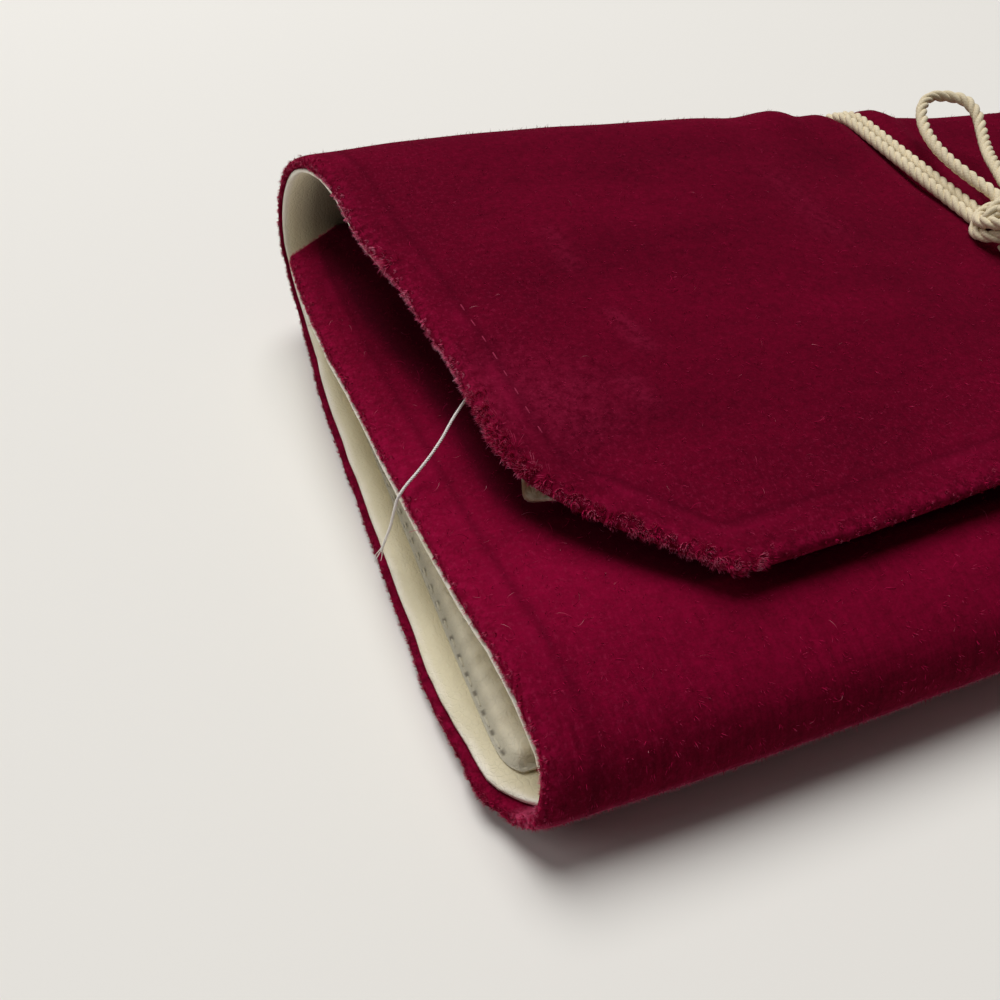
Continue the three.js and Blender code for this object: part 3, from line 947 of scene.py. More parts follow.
def gridFaces(rowCount, columnCount):
    # corners of each face of a grid, and the points round its rim
    at = np.arange(rowCount * columnCount).reshape(rowCount, columnCount)
    quads = np.stack([at[:-1, :-1], at[1:, :-1], at[1:, 1:], at[:-1, 1:]], axis=2)
    rim = np.concatenate([at[0, :], at[1:, -1], at[-1, -2::-1], at[-2:0:-1, 0]])
    return quads, rim


def slabMesh(name, grid, upper, lower, **attributes):
    # closed slab between two layers of points, with its place on the sheet as a UV map
    quads, rim = gridFaces(*upper.shape[:2])
    layer = grid["y"].size
    top = quads.reshape(-1, 4)
    under = top[:, [0, 3, 2, 1]] + layer
    after = np.roll(rim, -1)
    wall = np.stack([rim, after, after + layer, rim + layer], axis=1)
    points = toFrame(np.concatenate([upper.reshape(-1, 3), lower.reshape(-1, 3)]))
    mesh = newMesh(name, points.tolist(), np.concatenate([top, under, wall]).tolist())
    u = grid["columns"][None, :] * (halfWidth - grid["inset"][:, None])
    v = np.repeat(grid["along"][:, None], u.shape[1], axis=1)
    flat = (np.stack([u, v], axis=2) / uvLength).astype(np.float32).reshape(-1, 2)
    loops = np.zeros(len(mesh.loops), np.int32)
    mesh.loops.foreach_get("vertex_index", loops)
    mesh.uv_layers.new(name="sheetPlace").data.foreach_set("uv", flat[loops % layer].ravel())
    for label, values in {"edge": grid["edge"], **attributes}.items():
        setFloat(mesh, label, np.tile(values.ravel(), 2))
    print(name, "grid", upper.shape[:2], "faces", len(mesh.polygons))
    return mesh


def cornerAlong(grid):
    # how far along the sheet the flap's corner lies
    atCorner = np.abs(grid["share"] - cut["flapCornerShare"]) < 1e-6
    return grid["along"][np.argmax(atCorner & rowsOf(grid, "flap"))]


def edgeWaves(grid):
    # unevenness of the cut sides, for the left and the right edge
    along, columns = grid["along"], grid["columns"]
    left = np.array([waveAt(0, v, wobble["leftEdge"]) for v in along])[:, None]
    right = np.array([waveAt(wobble["rightAt"], v, wobble["rightEdge"]) for v in along])[:, None]
    ragged = np.where(columns[None, :] < 0, left, right) * wobble["edgeWave"]
    worn = sum(np.exp(-np.abs(along - at) / wobble["cornerSpread"]) for at in (cornerAlong(grid), along[-1]))
    shift = wobble["cornerWear"] * worn
    riseEnd = along[grid["part"].index("rise")]
    shift -= wobble["frontBulge"] * bell(along - riseEnd, wobble["bulgeSpread"])
    for part, share, spread, amount in sideShifts:
        missed = np.where(rowsOf(grid, part), np.abs(grid["share"] - share), np.inf)
        shift += amount * bell(along - along[np.argmin(missed)], spread)
    nearSide = smooth(np.abs(columns) * wobble["nearSides"] - (wobble["nearSides"] - 1))
    return (ragged + shift[:, None]) * nearSide[None, :]


# Velvet cover: wine red, darker and lighter where the pile is stroked, with a dent along the sewing line
coverLay = {"step": 1.5, "flapPieces": (44, 16), "stops": (1.0, 0.98), "edgeThin": 0.4, "edgeRound": 0.7}
velvetLook = {
    "deep": rgb(66, 3, 20), "mid": rgb(100, 5, 32), "stroked": rgb(134, 7, 47), "worn": rgb(146, 14, 57),
    "brushed": rgb(150, 34, 68), "covered": rgb(34, 6, 15), "rim": rgb(204, 84, 120),
    "sheenTint": (0.62, 0.03, 0.13, 1.0), "deepAt": 0.2, "midAt": 0.5, "strokedAt": 0.85, "relief": 0.00025,
    # the dent of the sewing line, painted darker as shade in it, and the lifted pile beside it
    "sewingLine": 5.2, "dentWidth": 0.55, "liftedOut": 1.2, "liftedWidth": 0.7,
    # how far the painted shade under the flap starts inside the flap's edge, and where it ends
    "underFlapShadeFrom": 1.0, "sideReach": 3.0, "frontReach": 1.4,
    # how much of each stretch is stroked light, less so towards the hem, and how much is ribbed
    "strokedShare": {"panel": 1.0, "crown": 0.7, "fold": 0.2}, "strokedRows": 6, "hemLess": 0.8,
    "hemFrom": 0.1, "hemOver": 0.6, "ribShare": {"rise": 0.5, "fold": 1.0, "crown": 0.5}, "ribRows": 4,
    "ribMiddle": 0.6, "ribLeft": 0.4,
    # the painted highlight low on the front fold, by how far the cloth faces down
    "rimFrom": 0.25, "rimOver": 0.3, "rimTo": 0.8, "rimFade": 0.15,
    # strokes in the nap of the flap, as two ends in X and Y, width and amount
    "strokes": (((-68.3, 19.4), (-68.5, 11.6), 1.3, 0.2), ((-66.7, 0.6), (-65.4, -5.6), 1.3, 0.3),
                ((-69.8, -11.0), (-69.0, -14.9), 1.3, 0.25), ((-27.3, 27.5), (-26.8, 13.9), 3.6, 0.12),
                ((-85.1, -8.7), (-79.0, -12.0), 7.0, 0.26)),
}
velvetGrain = {
    # scale, detail, roughness and stretch of each noise
    "grain": (3200.0, 2.0, 0.6), "tufts": (900.0, 3.0, 0.6), "blotch": (60.0, 3.0, 0.5),
    "nap": (5.0, 4.0, 0.55, (0.7, 1.8, 1.0)), "streak": (90.0, 2.0, 0.6, (0.5, 1.6, 1.0)),
    "ribs": (150.0, 2.0, 0.6, (1.0, 0.1, 1.0)), "flecks": (210.0, 4.0, 0.75, (1.0, 0.7, 1.0)),
}
velvetMix = {
    # how much each noise counts in the tone and the height of the pile
    "blotchTone": 0.2, "napTone": 0.3, "streakTone": 0.12, "tuftTone": 0.36, "grainTone": 0.3,
    "toneLess": 0.18, "strokedTone": 0.26, "ribTone": 0.55, "ribMean": 0.5, "grainHeight": 0.5,
    "tuftHeight": 0.6, "streakHeight": 0.2, "dentDepth": 1.1, "bump": 0.4,
    # where each change of colour starts and is full, by the edge in millimetres or by a noise, and its most
    "wornEdge": (3.0, 0.2), "wornTips": (0.6, 0.95), "wornGrain": 0.5, "wornMost": 0.5,
    "flecks": (0.5, 0.72), "fleckEdge": (26.0, 3.0), "fleckMore": 0.3, "fleckLeast": 0.12,
    "underFlapShadeMost": 0.6, "tipGrain": 0.4, "markTips": (0.45, 0.9), "rimLightTips": (0.4, 0.85), "rimLightMost": 0.6,
    "dentNap": 0.5, "dentShows": (0.3, 0.75), "dentShadeMost": 0.4, "liftedShows": (0.4, 0.7), "liftedMost": 0.35,
}
coverGrid = sheetGrid(coverLay["step"], gridFine, coverLay["flapPieces"], coverLay["stops"])
coverColumns = coverGrid["columns"]
coverEdges = edgeWaves(coverGrid)
rounding = 1 - coverLay["edgeThin"] * np.exp(-coverGrid["edge"] / coverLay["edgeRound"])
coverUpper = placeGrid(coverGrid, cut["coverThickness"] * rounding, coverEdges)
coverLower = placeGrid(coverGrid, np.zeros_like(coverGrid["y"]), coverEdges)
rowCount, columnCount = coverUpper.shape[:2]
flapRows = rowsOf(coverGrid, "flap")


def blurRows(values, reach):
    count = 2 * reach + 1
    return np.convolve(np.pad(values, reach, "edge"), np.ones(count) / count, "valid")


def strokedAt(part, share):
    late = smooth((share - velvetLook["hemFrom"]) / velvetLook["hemOver"]) if part == "panel" else 0.0
    return velvetLook["strokedShare"].get(part, 0.0) * (1 - velvetLook["hemLess"] * late)


def underFlapShadePile():
    # painted shade on the panel under the flap, also standing for the pile pressed there
    x, y = coverUpper[:, :, 0], coverUpper[:, :, 1]
    flapSide = coverUpper[flapRows, 0][::-1]
    pastSide = np.abs(x) - np.interp(y, flapSide[:, 1], np.abs(flapSide[:, 0]))
    pastFront = np.interp(x, x[-1], y[-1]) - y
    inside = velvetLook["underFlapShadeFrom"]
    past = np.maximum((pastSide + inside) / velvetLook["sideReach"],
                      (pastFront + inside) / velvetLook["frontReach"])
    return (1 - smooth(past)) * rowsOf(coverGrid, "panel")[:, None]


def brushMarks():
    marks = np.zeros((rowCount, columnCount))
    for start, end, width, amount in velvetLook["strokes"]:
        run = np.array(end) - np.array(start)
        fromStart = coverUpper[:, :, :2] - np.array(start)
        share = np.clip(fromStart @ run / (run @ run), 0, 1)
        marks += amount * bell(np.linalg.norm(fromStart - share[:, :, None] * run, axis=2), width)
    return marks * flapRows[:, None]


strokedRows = blurRows(rowValues(coverGrid, strokedAt), velvetLook["strokedRows"])
ribbedRows = rowValues(coverGrid, lambda part, share: velvetLook["ribShare"].get(part, 0.0))
ribAcross = velvetLook["ribMiddle"] - velvetLook["ribLeft"] * coverColumns
ribbed = blurRows(ribbedRows, velvetLook["ribRows"])[:, None] * ribAcross[None, :]
# painted highlight low on the front fold, for the pile tips that stand off the cloth and catch light there
down = -coverGrid["nz"]
paintedRimLight = smooth((down - velvetLook["rimFrom"]) / velvetLook["rimOver"])
paintedRimLight = paintedRimLight * (1 - smooth((down - velvetLook["rimTo"]) / velvetLook["rimFade"]))
paintedRimLight = paintedRimLight * rowsOf(coverGrid, "fold", "rise")[:, None]
coverMesh = slabMesh("velvetCover", coverGrid, coverUpper, coverLower, covered=underFlapShadePile(), rim=paintedRimLight,
                     stroked=np.repeat(strokedRows[:, None], columnCount, axis=1), ribbed=ribbed,
                     marks=brushMarks())


def velvetMaterial():
    look, much = velvetLook, velvetMix
    material, board, shader = newMaterial(
        "wineVelvet", Roughness=0.95, Sheen_Weight=0.22, Sheen_Roughness=0.3, Specular_IOR_Level=0.02,
        Sheen_Tint=look["sheenTint"])
    place = board.place()
    sheet = board.add("ShaderNodeUVMap", {"uv_map": "sheetPlace"})
    grain, tufts, blotch = [board.noise(place, *velvetGrain[name]) for name in ("grain", "tufts", "blotch")]
    nap, streak, ribs, flecks = [
        board.noise(sheet, *velvetGrain[name]) for name in ("nap", "streak", "ribs", "flecks")]
    edge, stroked, ribbed, covered, marks, rim = [
        board.attribute(name) for name in ("edge", "stroked", "ribbed", "covered", "marks", "rim")]
    tone = blotch * much["blotchTone"] + nap * much["napTone"] + streak * much["streakTone"]
    tone = tone + tufts * much["tuftTone"] + grain * much["grainTone"] - much["toneLess"]
    tone = tone + stroked * much["strokedTone"] + (ribs - much["ribMean"]) * ribbed * much["ribTone"]
    colour = board.ramp(tone, (look["deepAt"], look["deep"]), (look["midAt"], look["mid"]),
                        (look["strokedAt"], look["stroked"]))
    worn = board.step(edge, *much["wornEdge"])
    worn = worn * board.step(tufts + grain * much["wornGrain"], *much["wornTips"])
    colour = board.mix(worn * much["wornMost"], colour, look["worn"])
    moreFlecks = board.step(edge, *much["fleckEdge"]) * much["fleckMore"] + much["fleckLeast"]
    colour = board.mix(board.step(flecks, *much["flecks"]) * moreFlecks, colour, look["brushed"])
    # painted shade under the flap
    colour = board.mix(covered * much["underFlapShadeMost"], colour, look["covered"])
    tips = tufts + grain * much["tipGrain"]
    colour = board.mix(marks * board.step(tips, *much["markTips"]), colour, look["brushed"])
    # painted highlight low on the front fold
    colour = board.mix(rim * board.step(tips, *much["rimLightTips"]) * much["rimLightMost"], colour, look["rim"])
    # the sewing line, with painted shade in its dent
    away = (edge - look["sewingLine"]) / look["dentWidth"]
    dent = 1 / (1 + away * away) * board.step(streak + nap * much["dentNap"], *much["dentShows"])
    beside = (edge - look["sewingLine"] + look["liftedOut"]) / look["liftedWidth"]
    lifted = 1 / (1 + beside * beside) * board.step(nap, *much["liftedShows"])
    colour = board.mix(lifted * much["liftedMost"], colour, look["worn"])
    colour = board.mix(dent * much["dentShadeMost"], colour, look["deep"])
    height = grain * much["grainHeight"] + tufts * much["tuftHeight"] + streak * much["streakHeight"]
    height = height - dent * much["dentDepth"]
    feed(shader, Base_Color=colour, Normal=board.bump(height, much["bump"], look["relief"]))
    return material


wineVelvet = velvetMaterial()
velvetCover = finishPiece(link("velvetCover", coverMesh, wineVelvet), "velvet", "velvet_cover")

# Pile of the velvet: tufts along the cut edges, wisps over the cloth and a few stray fibres
tuftCut = {
    "edgeTuft": {"hairs": 16, "length": 0.85, "width": 0.05, "splay": 0.45, "bend": 0.0, "rings": 1,
                 "foot": 0.36, "seed": 4},
    "wisp": {"hairs": 3, "length": 0.7, "width": 0.038, "splay": 0.5, "bend": 0.0, "rings": 1, "foot": 0.15,
             "seed": 9},
    "stray": {"hairs": 1, "length": 2.8, "width": 0.042, "splay": 0.9, "bend": 2.2, "rings": 5, "foot": 0.0,
              "seed": 15},
    "fray": {"hairs": 7, "length": 2.0, "width": 0.04, "splay": 0.3, "bend": 0.7, "rings": 3, "foot": 0.25,
             "seed": 21},
}
# how the hairs of a tuft vary, and the seed for the shade of each tuft
hairShape = {"turn": (0, 0.6), "length": (0.65, 1.1), "splay": (0.4, 1.3), "bend": (0.5, 1.5), "foot": (0, 1),
             "root": -0.15, "swirl": 0.8, "taper": 0.45, "across": (0.3, 0.5, 0.81), "shadeSeed": 77}
pileLook = {"root": rgb(138, 6, 46), "middle": rgb(182, 24, 76), "tip": rgb(236, 132, 162),
            "lint": rgb(226, 160, 172), "wispTip": rgb(226, 92, 132), "paintedLitMiddle": rgb(214, 84, 124),
            "paintedLitTip": rgb(244, 180, 198), "sheenTint": (0.7, 0.05, 0.16, 1.0),
            # shares of a hair's height where a colour starts and is full, and how dull root and tip are
            "middleHeight": (0.0, 0.6), "paleHeight": (0.3, 1.0), "paleFull": 0.95, "rootRough": 0.95,
            "tipLess": 0.15}


def pileMaterial(name, middle, tip, least):
    material, board, shader = newMaterial(name, Roughness=0.9, Sheen_Weight=0.15, Sheen_Roughness=0.3,
                                          Specular_IOR_Level=0.05, Sheen_Tint=pileLook["sheenTint"])
    height = board.attribute("tip")
    pale = board.step(height, *pileLook["paleHeight"])
    pale = pale * board.step(board.attribute("shade"), least, pileLook["paleFull"])
    colour = board.mix(board.step(height, *pileLook["middleHeight"]), pileLook["root"], pileLook[middle])
    colour = board.mix(pale, colour, pileLook[tip])
    feed(shader, Base_Color=colour, Roughness=pileLook["rootRough"] - height * pileLook["tipLess"])
    return material


velvetPile = pileMaterial("velvetPile", "middle", "tip", 0.1)
frontPile = pileMaterial("frontPile", "middle", "tip", 0.6)
# a lighter copy of the pile: painted light for fuzz that the lamps leave in shade, on the flap's left edge and the
# front fold's rim
paintedLitPile = pileMaterial("paintedLitPile", "paintedLitMiddle", "paintedLitTip", 0.0)
strayLint = pileMaterial("strayLint", "middle", "lint", 0.45)
napWisps = pileMaterial("napWisps", "middle", "wispTip", 0.5)
pileRuns = {
    # tuft, tufts to a square millimetre, smallest and largest size, ruffle, seed and material
    "edgeTuftsLeft": ("edgeTuft", 6.12, 0.45, 1.05, 0.32, 5, velvetPile),
    "edgeTuftsMiddle": ("edgeTuft", 2.04, 0.2, 0.55, 0.32, 7, frontPile),
    "edgeTuftsRight": ("edgeTuft", 4.08, 0.45, 1.05, 0.32, 6, velvetPile),
    "flapFuzzLeft": ("edgeTuft", 7.48, 0.35, 0.9, 0.32, 2, paintedLitPile),
    "edgeFuzzLeft": ("edgeTuft", 6.46, 0.3, 0.78, 0.32, 4, velvetPile),
    "edgeFuzzRight": ("edgeTuft", 3.4, 0.3, 0.8, 0.32, 3, velvetPile),
    "pileWispsFront": ("wisp", 0.75, 0.5, 1.2, 0.7, 8, napWisps),
    "pileWispsBack": ("wisp", 0.75, 0.5, 1.2, 0.7, 10, napWisps),
    "rimWisps": ("wisp", 5.0, 0.5, 1.0, 0.5, 16, paintedLitPile),
    "strayFibres": ("stray", 0.016, 0.3, 0.85, 0.9, 12, strayLint),
    "frayedTufts": ("fray", 6.0, 0.5, 1.2, 0.45, 14, velvetPile),
}


def tuftShape(name, shape):
    # bent hairs of three sides from one root
    spin = np.random.default_rng(shape["seed"])
    rings = shape["rings"]
    points, faces, tips = [], [], []
    for h in range(shape["hairs"]):
        turn = math.tau * (h + spin.uniform(*hairShape["turn"])) / shape["hairs"]
        length = shape["length"] * spin.uniform(*hairShape["length"])
        splay = shape["splay"] * spin.uniform(*hairShape["splay"])
        bend = shape["bend"] * spin.uniform(*hairShape["bend"])
        foot = shape["foot"] * math.sqrt(spin.uniform(*hairShape["foot"]))
        splay = splay * foot / shape["foot"] if shape["foot"] else splay
        at = np.array([math.cos(turn) * foot, math.sin(turn) * foot, hairShape["root"]])
        start = len(points)
        for ring in range(rings + 1):
            share = ring / rings
            lean = splay + bend * share
            heading = turn + bend * hairShape["swirl"] * share
            ahead = np.array([math.sin(lean) * math.cos(heading), math.sin(lean) * math.sin(heading),
                              math.cos(lean)])
            at = at + ahead * length / rings if ring else at
            if ring == rings:
                points.append(tuple(at * mm))
                tips.append(1.0)
                break
            across = unit(np.cross(ahead, hairShape["across"]))
            other = np.cross(ahead, across)
            wide = shape["width"] * (1 - hairShape["taper"] * share)
            for angle in (0, math.tau / 3, math.tau * 2 / 3):
                points.append(tuple((at + wide * (across * math.cos(angle) + other * math.sin(angle))) * mm))
                tips.append(share)
        for ring in range(rings):
            low = start + ring * 3
            for k, following in ((0, 1), (1, 2), (2, 0)):
                if ring == rings - 1:
                    faces.append((low + k, low + following, start + rings * 3))
                else:
                    faces.append((low + k, low + following, low + 3 + following, low + 3 + k))
        faces.append((start + 2, start + 1, start))
    mesh = newMesh(name, points, faces, smoothed=False)
    setFloat(mesh, "tip", tips)
    return link(name, mesh)


def pileTree():
    tree, board, value = newTree("pileHairs", {
        "Tuft": "object", "Density": 1.0, "Smallest": 0.7, "Largest": 1.3, "Ruffle": 0.4, "Seed": 1,
        "Material": None})
    seed = value["Seed"]
    amount = board.add("GeometryNodeInputNamedAttribute", {"data_type": "FLOAT"}, {"Name": "fuzz"})
    places = board.add("GeometryNodeDistributePointsOnFaces", {"distribute_method": "RANDOM"},
                       {"Mesh": value["Geometry"], "Density": amount * value["Density"], "Seed": seed})
    lean = board.add("GeometryNodeInputNamedAttribute", {"data_type": "FLOAT_VECTOR"}, {"Name": "lean"})
    ruffle = board.add("FunctionNodeRandomValue", {"data_type": "FLOAT_VECTOR"},
                       {0: (-1.0, -1.0, -1.0), 1: (1.0, 1.0, 1.0), "Seed": seed})
    ruffle = board.vector("SCALE", {0: ruffle, "Scale": value["Ruffle"]})
    turn = board.add("ShaderNodeCombineXYZ", None, {"Z": board.random(0.0, math.tau, seed)})
    turn = board.add("FunctionNodeEulerToRotation", None, {0: turn})
    aligned = board.add("FunctionNodeAlignRotationToVector", {"axis": "Z"},
                        {"Rotation": turn, "Vector": board.vector("ADD", {0: lean, 1: ruffle})})
    shape = board.node("GeometryNodeObjectInfo", None, {"Object": value["Tuft"]})
    tufts = board.add("GeometryNodeInstanceOnPoints", None, {
        "Points": places, "Instance": Wire(board, shape.outputs["Geometry"]), "Rotation": aligned,
        "Scale": board.random(value["Smallest"], value["Largest"], seed)})
    tufts = board.keep(tufts, "shade", board.random(0.0, 1.0, hairShape["shadeSeed"]), "INSTANCE")
    board.deliver(tufts, value["Material"])
    return tree


pileHairs = pileTree()
tufts = {name: tuftShape(name, shape) for name, shape in tuftCut.items()}
clothPoints = coverUpper.reshape(-1, 3)
clothFaces, rimAt = gridFaces(rowCount, columnCount)
openFaces = clothFaces.reshape(-1, 4).tolist()
pilePieces = []


def growPile(name, fuzz, lean, points=clothPoints, faces=openFaces):
    # grows tufts by the amount of fuzz, turned the way of lean
    tuft, density, smallest, largest, ruffle, seed, material = pileRuns[name]
    mesh = newMesh("pileCloth", toFrame(points).tolist(), faces, smoothed=False)
    setFloat(mesh, "fuzz", fuzz)
    layer = mesh.attributes.new("lean", "FLOAT_VECTOR", "POINT")
    layer.data.foreach_set("vector", np.asarray(lean, np.float32).ravel())
    cloth = link("pileCloth", mesh)
    grown = runNodes(name, cloth, pileHairs, {
        "Tuft": tufts[tuft], "Density": density / mm ** 2, "Smallest": smallest, "Largest": largest,
        "Ruffle": ruffle, "Seed": seed, "Material": material})
    dropTemporary(cloth)
    pilePieces.append(finishPiece(link(name, grown), "velvet"))
    print(name, len(grown.polygons), "faces")


# which way is out of the cloth, along it and off its nearest cut edge
alongCloth = unit(np.gradient(coverUpper, axis=0))
acrossCloth = unit(np.gradient(coverUpper, axis=1))
offCloth = unit(np.cross(acrossCloth, alongCloth))
offCloth *= np.sign(np.sum(offCloth * (coverUpper - coverLower), axis=2, keepdims=True))
sideWay = np.where(coverColumns < 0, -1.0, 1.0)[None, :, None] * acrossCloth
sideWay = unit(sideWay + coverGrid["slope"][:, None, None] * alongCloth)
endWay = np.where(np.arange(rowCount) < rowCount / 2, -1.0, 1.0)[:, None, None] * alongCloth
atSide = coverGrid["side"] < coverGrid["ends"][:, None]
edgeWay = np.where(atSide[:, :, None], sideWay, endWay)

# Cut edges: tufts on the flap's front edge and cut corners, short fuzz on the rest
edgePile = {
    "tuftsFrom": 0.6, "cornerReach": 3.5, "clumps": ((1.5, 1.7, 33.0),), "clumpMiddle": 0.4, "clumpMost": 1.3,
    "clothReach": 4.0, "leanReach": 1.3, "offTableFrom": (("rise", 0.7), ("back", 0.16)),
    # width of the band, least amount in it, and how far the pile leans out of the cloth and off the edge
    "tufted": {"band": 1.0, "least": 0.55, "out": 1.3, "off": 0.8},
    "plain": {"band": 0.4, "least": 0.16, "out": 0.3, "off": 1.1},
    # on the cut itself: amounts, the share left at its foot, and how far the pile turns up
    "wallMore": 0.35, "wallLeast": 0.25, "wallMost": 1.2, "wallFoot": 0.7, "wallUp": 0.6, "lowUp": 0.25,
    "lowHeight": 3.0, "tableGap": 0.4, "tableFade": 1.2,
}
edge = coverGrid["edge"]
tuftRows = rowValues(coverGrid, lambda part, share: part == "flap" and share > edgePile["tuftsFrom"])
onTable = rowsOf(coverGrid, "backFlat", "frontFlat")
for part, start in edgePile["offTableFrom"]:
    onTable = onTable | (rowsOf(coverGrid, part) & (coverGrid["share"] < start))
clumps = [[waveAt(a * halfWidth, v, edgePile["clumps"]) for a in coverColumns] for v in coverGrid["along"]]
clump = edgePile["clumpMiddle"] + np.array(clumps)


def byRow(label):
    return np.where(tuftRows, edgePile["tufted"][label], edgePile["plain"][label])[:, None]


edgeAmount = bell(edge, byRow("band")) * np.clip(clump, byRow("least"), edgePile["clumpMost"])
edgeAmount = edgeAmount * ~onTable[:, None]
edgeOff = byRow("off") * np.exp(-edge / edgePile["leanReach"])
edgeLean = unit(offCloth * byRow("out")[:, :, None] + edgeWay * edgeOff[:, :, None])


def growEdge(name, keep):
    # on the cloth near the cut edges and on a wall along the cut itself
    near = (edge[:-1, :-1] < edgePile["clothReach"]) & keep[:-1, :-1]
    upper, lower = clothPoints[rimAt], coverLower.reshape(-1, 3)[rimAt]
    lowUp = np.where(upper[:, 2] < edgePile["lowHeight"], edgePile["lowUp"], 0.0)
    turnUp = np.where(tuftAll.ravel()[rimAt], edgePile["wallUp"], lowUp)
    wallLean = unit(edgeWay.reshape(-1, 3)[rimAt] + np.array([0, 0, 1.0]) * turnUp[:, None])
    top = len(clothPoints) + np.arange(len(rimAt))
    after = np.roll(top, -1)
    wall = np.stack([top, after, after + len(rimAt), top + len(rimAt)], axis=1)[keep.ravel()[rimAt]]
    amount = np.clip(clump.ravel()[rimAt] + edgePile["wallMore"], edgePile["wallLeast"], edgePile["wallMost"])
    offTable = smooth((upper[:, 2] - edgePile["tableGap"]) / edgePile["tableFade"])
    fuzz = np.concatenate([edgeAmount.ravel(), amount * offTable, amount * edgePile["wallFoot"]])
    lean = np.concatenate([edgeLean.reshape(-1, 3), wallLean, wallLean])
    growPile(name, fuzz, lean, np.concatenate([clothPoints, upper, lower]),
             np.concatenate([clothFaces[near], wall]).tolist())


tuftAll = np.repeat(tuftRows[:, None], columnCount, axis=1)
atLeft = coverColumns[None, :] < 0
besideCut = coverGrid["side"] < edgePile["cornerReach"]
growEdge("edgeTuftsLeft", tuftAll & besideCut & atLeft)
growEdge("edgeTuftsMiddle", tuftAll & ~besideCut)
growEdge("edgeTuftsRight", tuftAll & besideCut & ~atLeft)
growEdge("flapFuzzLeft", ~tuftAll & atLeft & flapRows[:, None])
growEdge("edgeFuzzLeft", ~tuftAll & atLeft & ~flapRows[:, None])
growEdge("edgeFuzzRight", ~tuftAll & ~atLeft)

# Over the cloth: wisps of the nap, a soft rim of painted-light wisps low on the front fold, stray fibres and frayed
# places
openPile = {
    "wispShare": {"back": 0.45, "rise": 0.4}, "wispElse": 0.5, "wispBack": 0.75, "napOut": 0.8,
    "napAlong": 0.75, "rimAlong": 0.2, "strayShare": {"panel": 2.0, "crown": 1.5, "fold": 0.7, "flap": 0.5},
    "strayFrom": {"fold": 0.45, "flap": 0.15}, "strayOut": 0.4, "strayMore": 2.5, "strayLeft": -0.2,
    "strayOver": 0.4,
    # places on the flap's left edge that have come apart, as shares of the flap's length
    "frayed": (0.28, 0.29, 0.705, 0.74, 0.775), "frayLength": 0.9, "frayDepth": 0.6,
}
napLean = unit(offCloth * openPile["napOut"] + openPile["napAlong"] * alongCloth)
wispRows = rowValues(coverGrid, lambda part, share: openPile["wispShare"].get(part, openPile["wispElse"]))
frontRows = np.arange(rowCount) < coverGrid["part"].index("backFlat")
for name, rows in (("pileWispsFront", frontRows), ("pileWispsBack", ~frontRows * openPile["wispBack"])):
    growPile(name, np.repeat((wispRows * ~onTable * rows)[:, None], columnCount, axis=1), napLean)
growPile("rimWisps", paintedRimLight, offCloth + openPile["rimAlong"] * alongCloth)


def strayAt(part, share):
    started = part not in openPile["strayFrom"] or share > openPile["strayFrom"][part]
    return openPile["strayShare"].get(part, 0.0) * started


moreAtLeft = smooth((openPile["strayLeft"] - coverColumns) / openPile["strayOver"])
strayAmount = rowValues(coverGrid, strayAt)[:, None] * (1 + openPile["strayMore"] * moreAtLeft)[None, :]
growPile("strayFibres", strayAmount, offCloth * openPile["strayOut"])
flapAlong = coverGrid["along"][flapRows]
frayPlaces = [lerp(flapAlong[0], flapAlong[-1], share) for share in openPile["frayed"]]
frayRows = sum(bell(coverGrid["along"] - at, openPile["frayLength"]) for at in frayPlaces)
frayAcross = np.exp(-coverGrid["side"] / openPile["frayDepth"]) * atLeft
growPile("frayedTufts", frayRows[:, None] * frayAcross, edgeLean)
for made in tufts.values():
    dropTemporary(made)

# Lining: soft cream leather behind the velvet, with its tip showing at the flap's left corner
# cream colours of the lining, with painted shade for inside the rolled back, the seam's groove and the needle holes
liningLook = {"lit": rgb(233, 222, 189), "shade": rgb(219, 208, 176), "worn": rgb(250, 242, 228),
              "shadedHole": rgb(78, 68, 52), "shadedGroove": rgb(142, 134, 112), "inside": rgb(94, 75, 58),
              "dull": rgb(132, 100, 68), "relief": 0.9, "shadeInsideFrom": 1.0, "shadeInsideOver": 5.5, "backOver": 0.3}
liningFine = {"panel": 42, "crown": 10, "fold": 14, "rise": 16, "frontFlat": 9, "backFlat": 20, "back": 34}
liningLay = {"step": 2.2, "flapPieces": (150, 44), "stops": (0.985, 0.955), "edgeThin": 0.6, "edgeRound": 1.6}
liningTip = {"out": 0.1, "spread": 1.8, "droop": 2.3, "before": 2.0, "depth": 3.0}
liningPuff = {"height": 0.55, "width": 3.9, "curve": 0.8, "rumple": ((1.1, 3.4, 71.0),), "riseLess": 0.6}
liningSetback = {"base": 0.8, "panel": -0.22, "corner": 1.7, "flapRoot": 0.1, "flapCorner": 1.6,
                 "flapEnd": 3.6, "foldFrom": 0.4, "foldIn": 0.9, "foldInTo": 0.75, "riseCurve": 3}
leatherGrain = {"cloud": (60.0, 3.0), "crease": (260.0, 4.0, 0.6, (1.0, 0.5, 1.0)), "fine": (3000.0, 2.0),
                "cells": 1500.0, "bump": 0.0003}
leatherMix = {
    # where each change of colour starts and is full, and its most
    "cloud": (0.3, 0.75), "wornEdge": (1.2, 0.0), "wornCrease": (0.2, 0.6), "wornMost": 0.9,
    "shadeInsideMost": 0.85, "dull": (0.05, 0.6), "tipDarkeningCrease": (0.15, 0.6), "shadedGroove": (1.3, 0.1), "shadedGrooveMost": 0.55,
    "shadedHole": (0.4, 0.0), "holeBeat": (0.5, 1.0), "shadedHoleMost": 0.7,
    # heights and roughness
    "cellWall": (0.0, 0.18), "cellHeight": 0.22, "fineHeight": 0.1, "sunkDepth": 0.8, "holeDepth": 1.2,
    "bump": 0.5, "plainRough": 0.42, "creaseRough": 0.2,
}


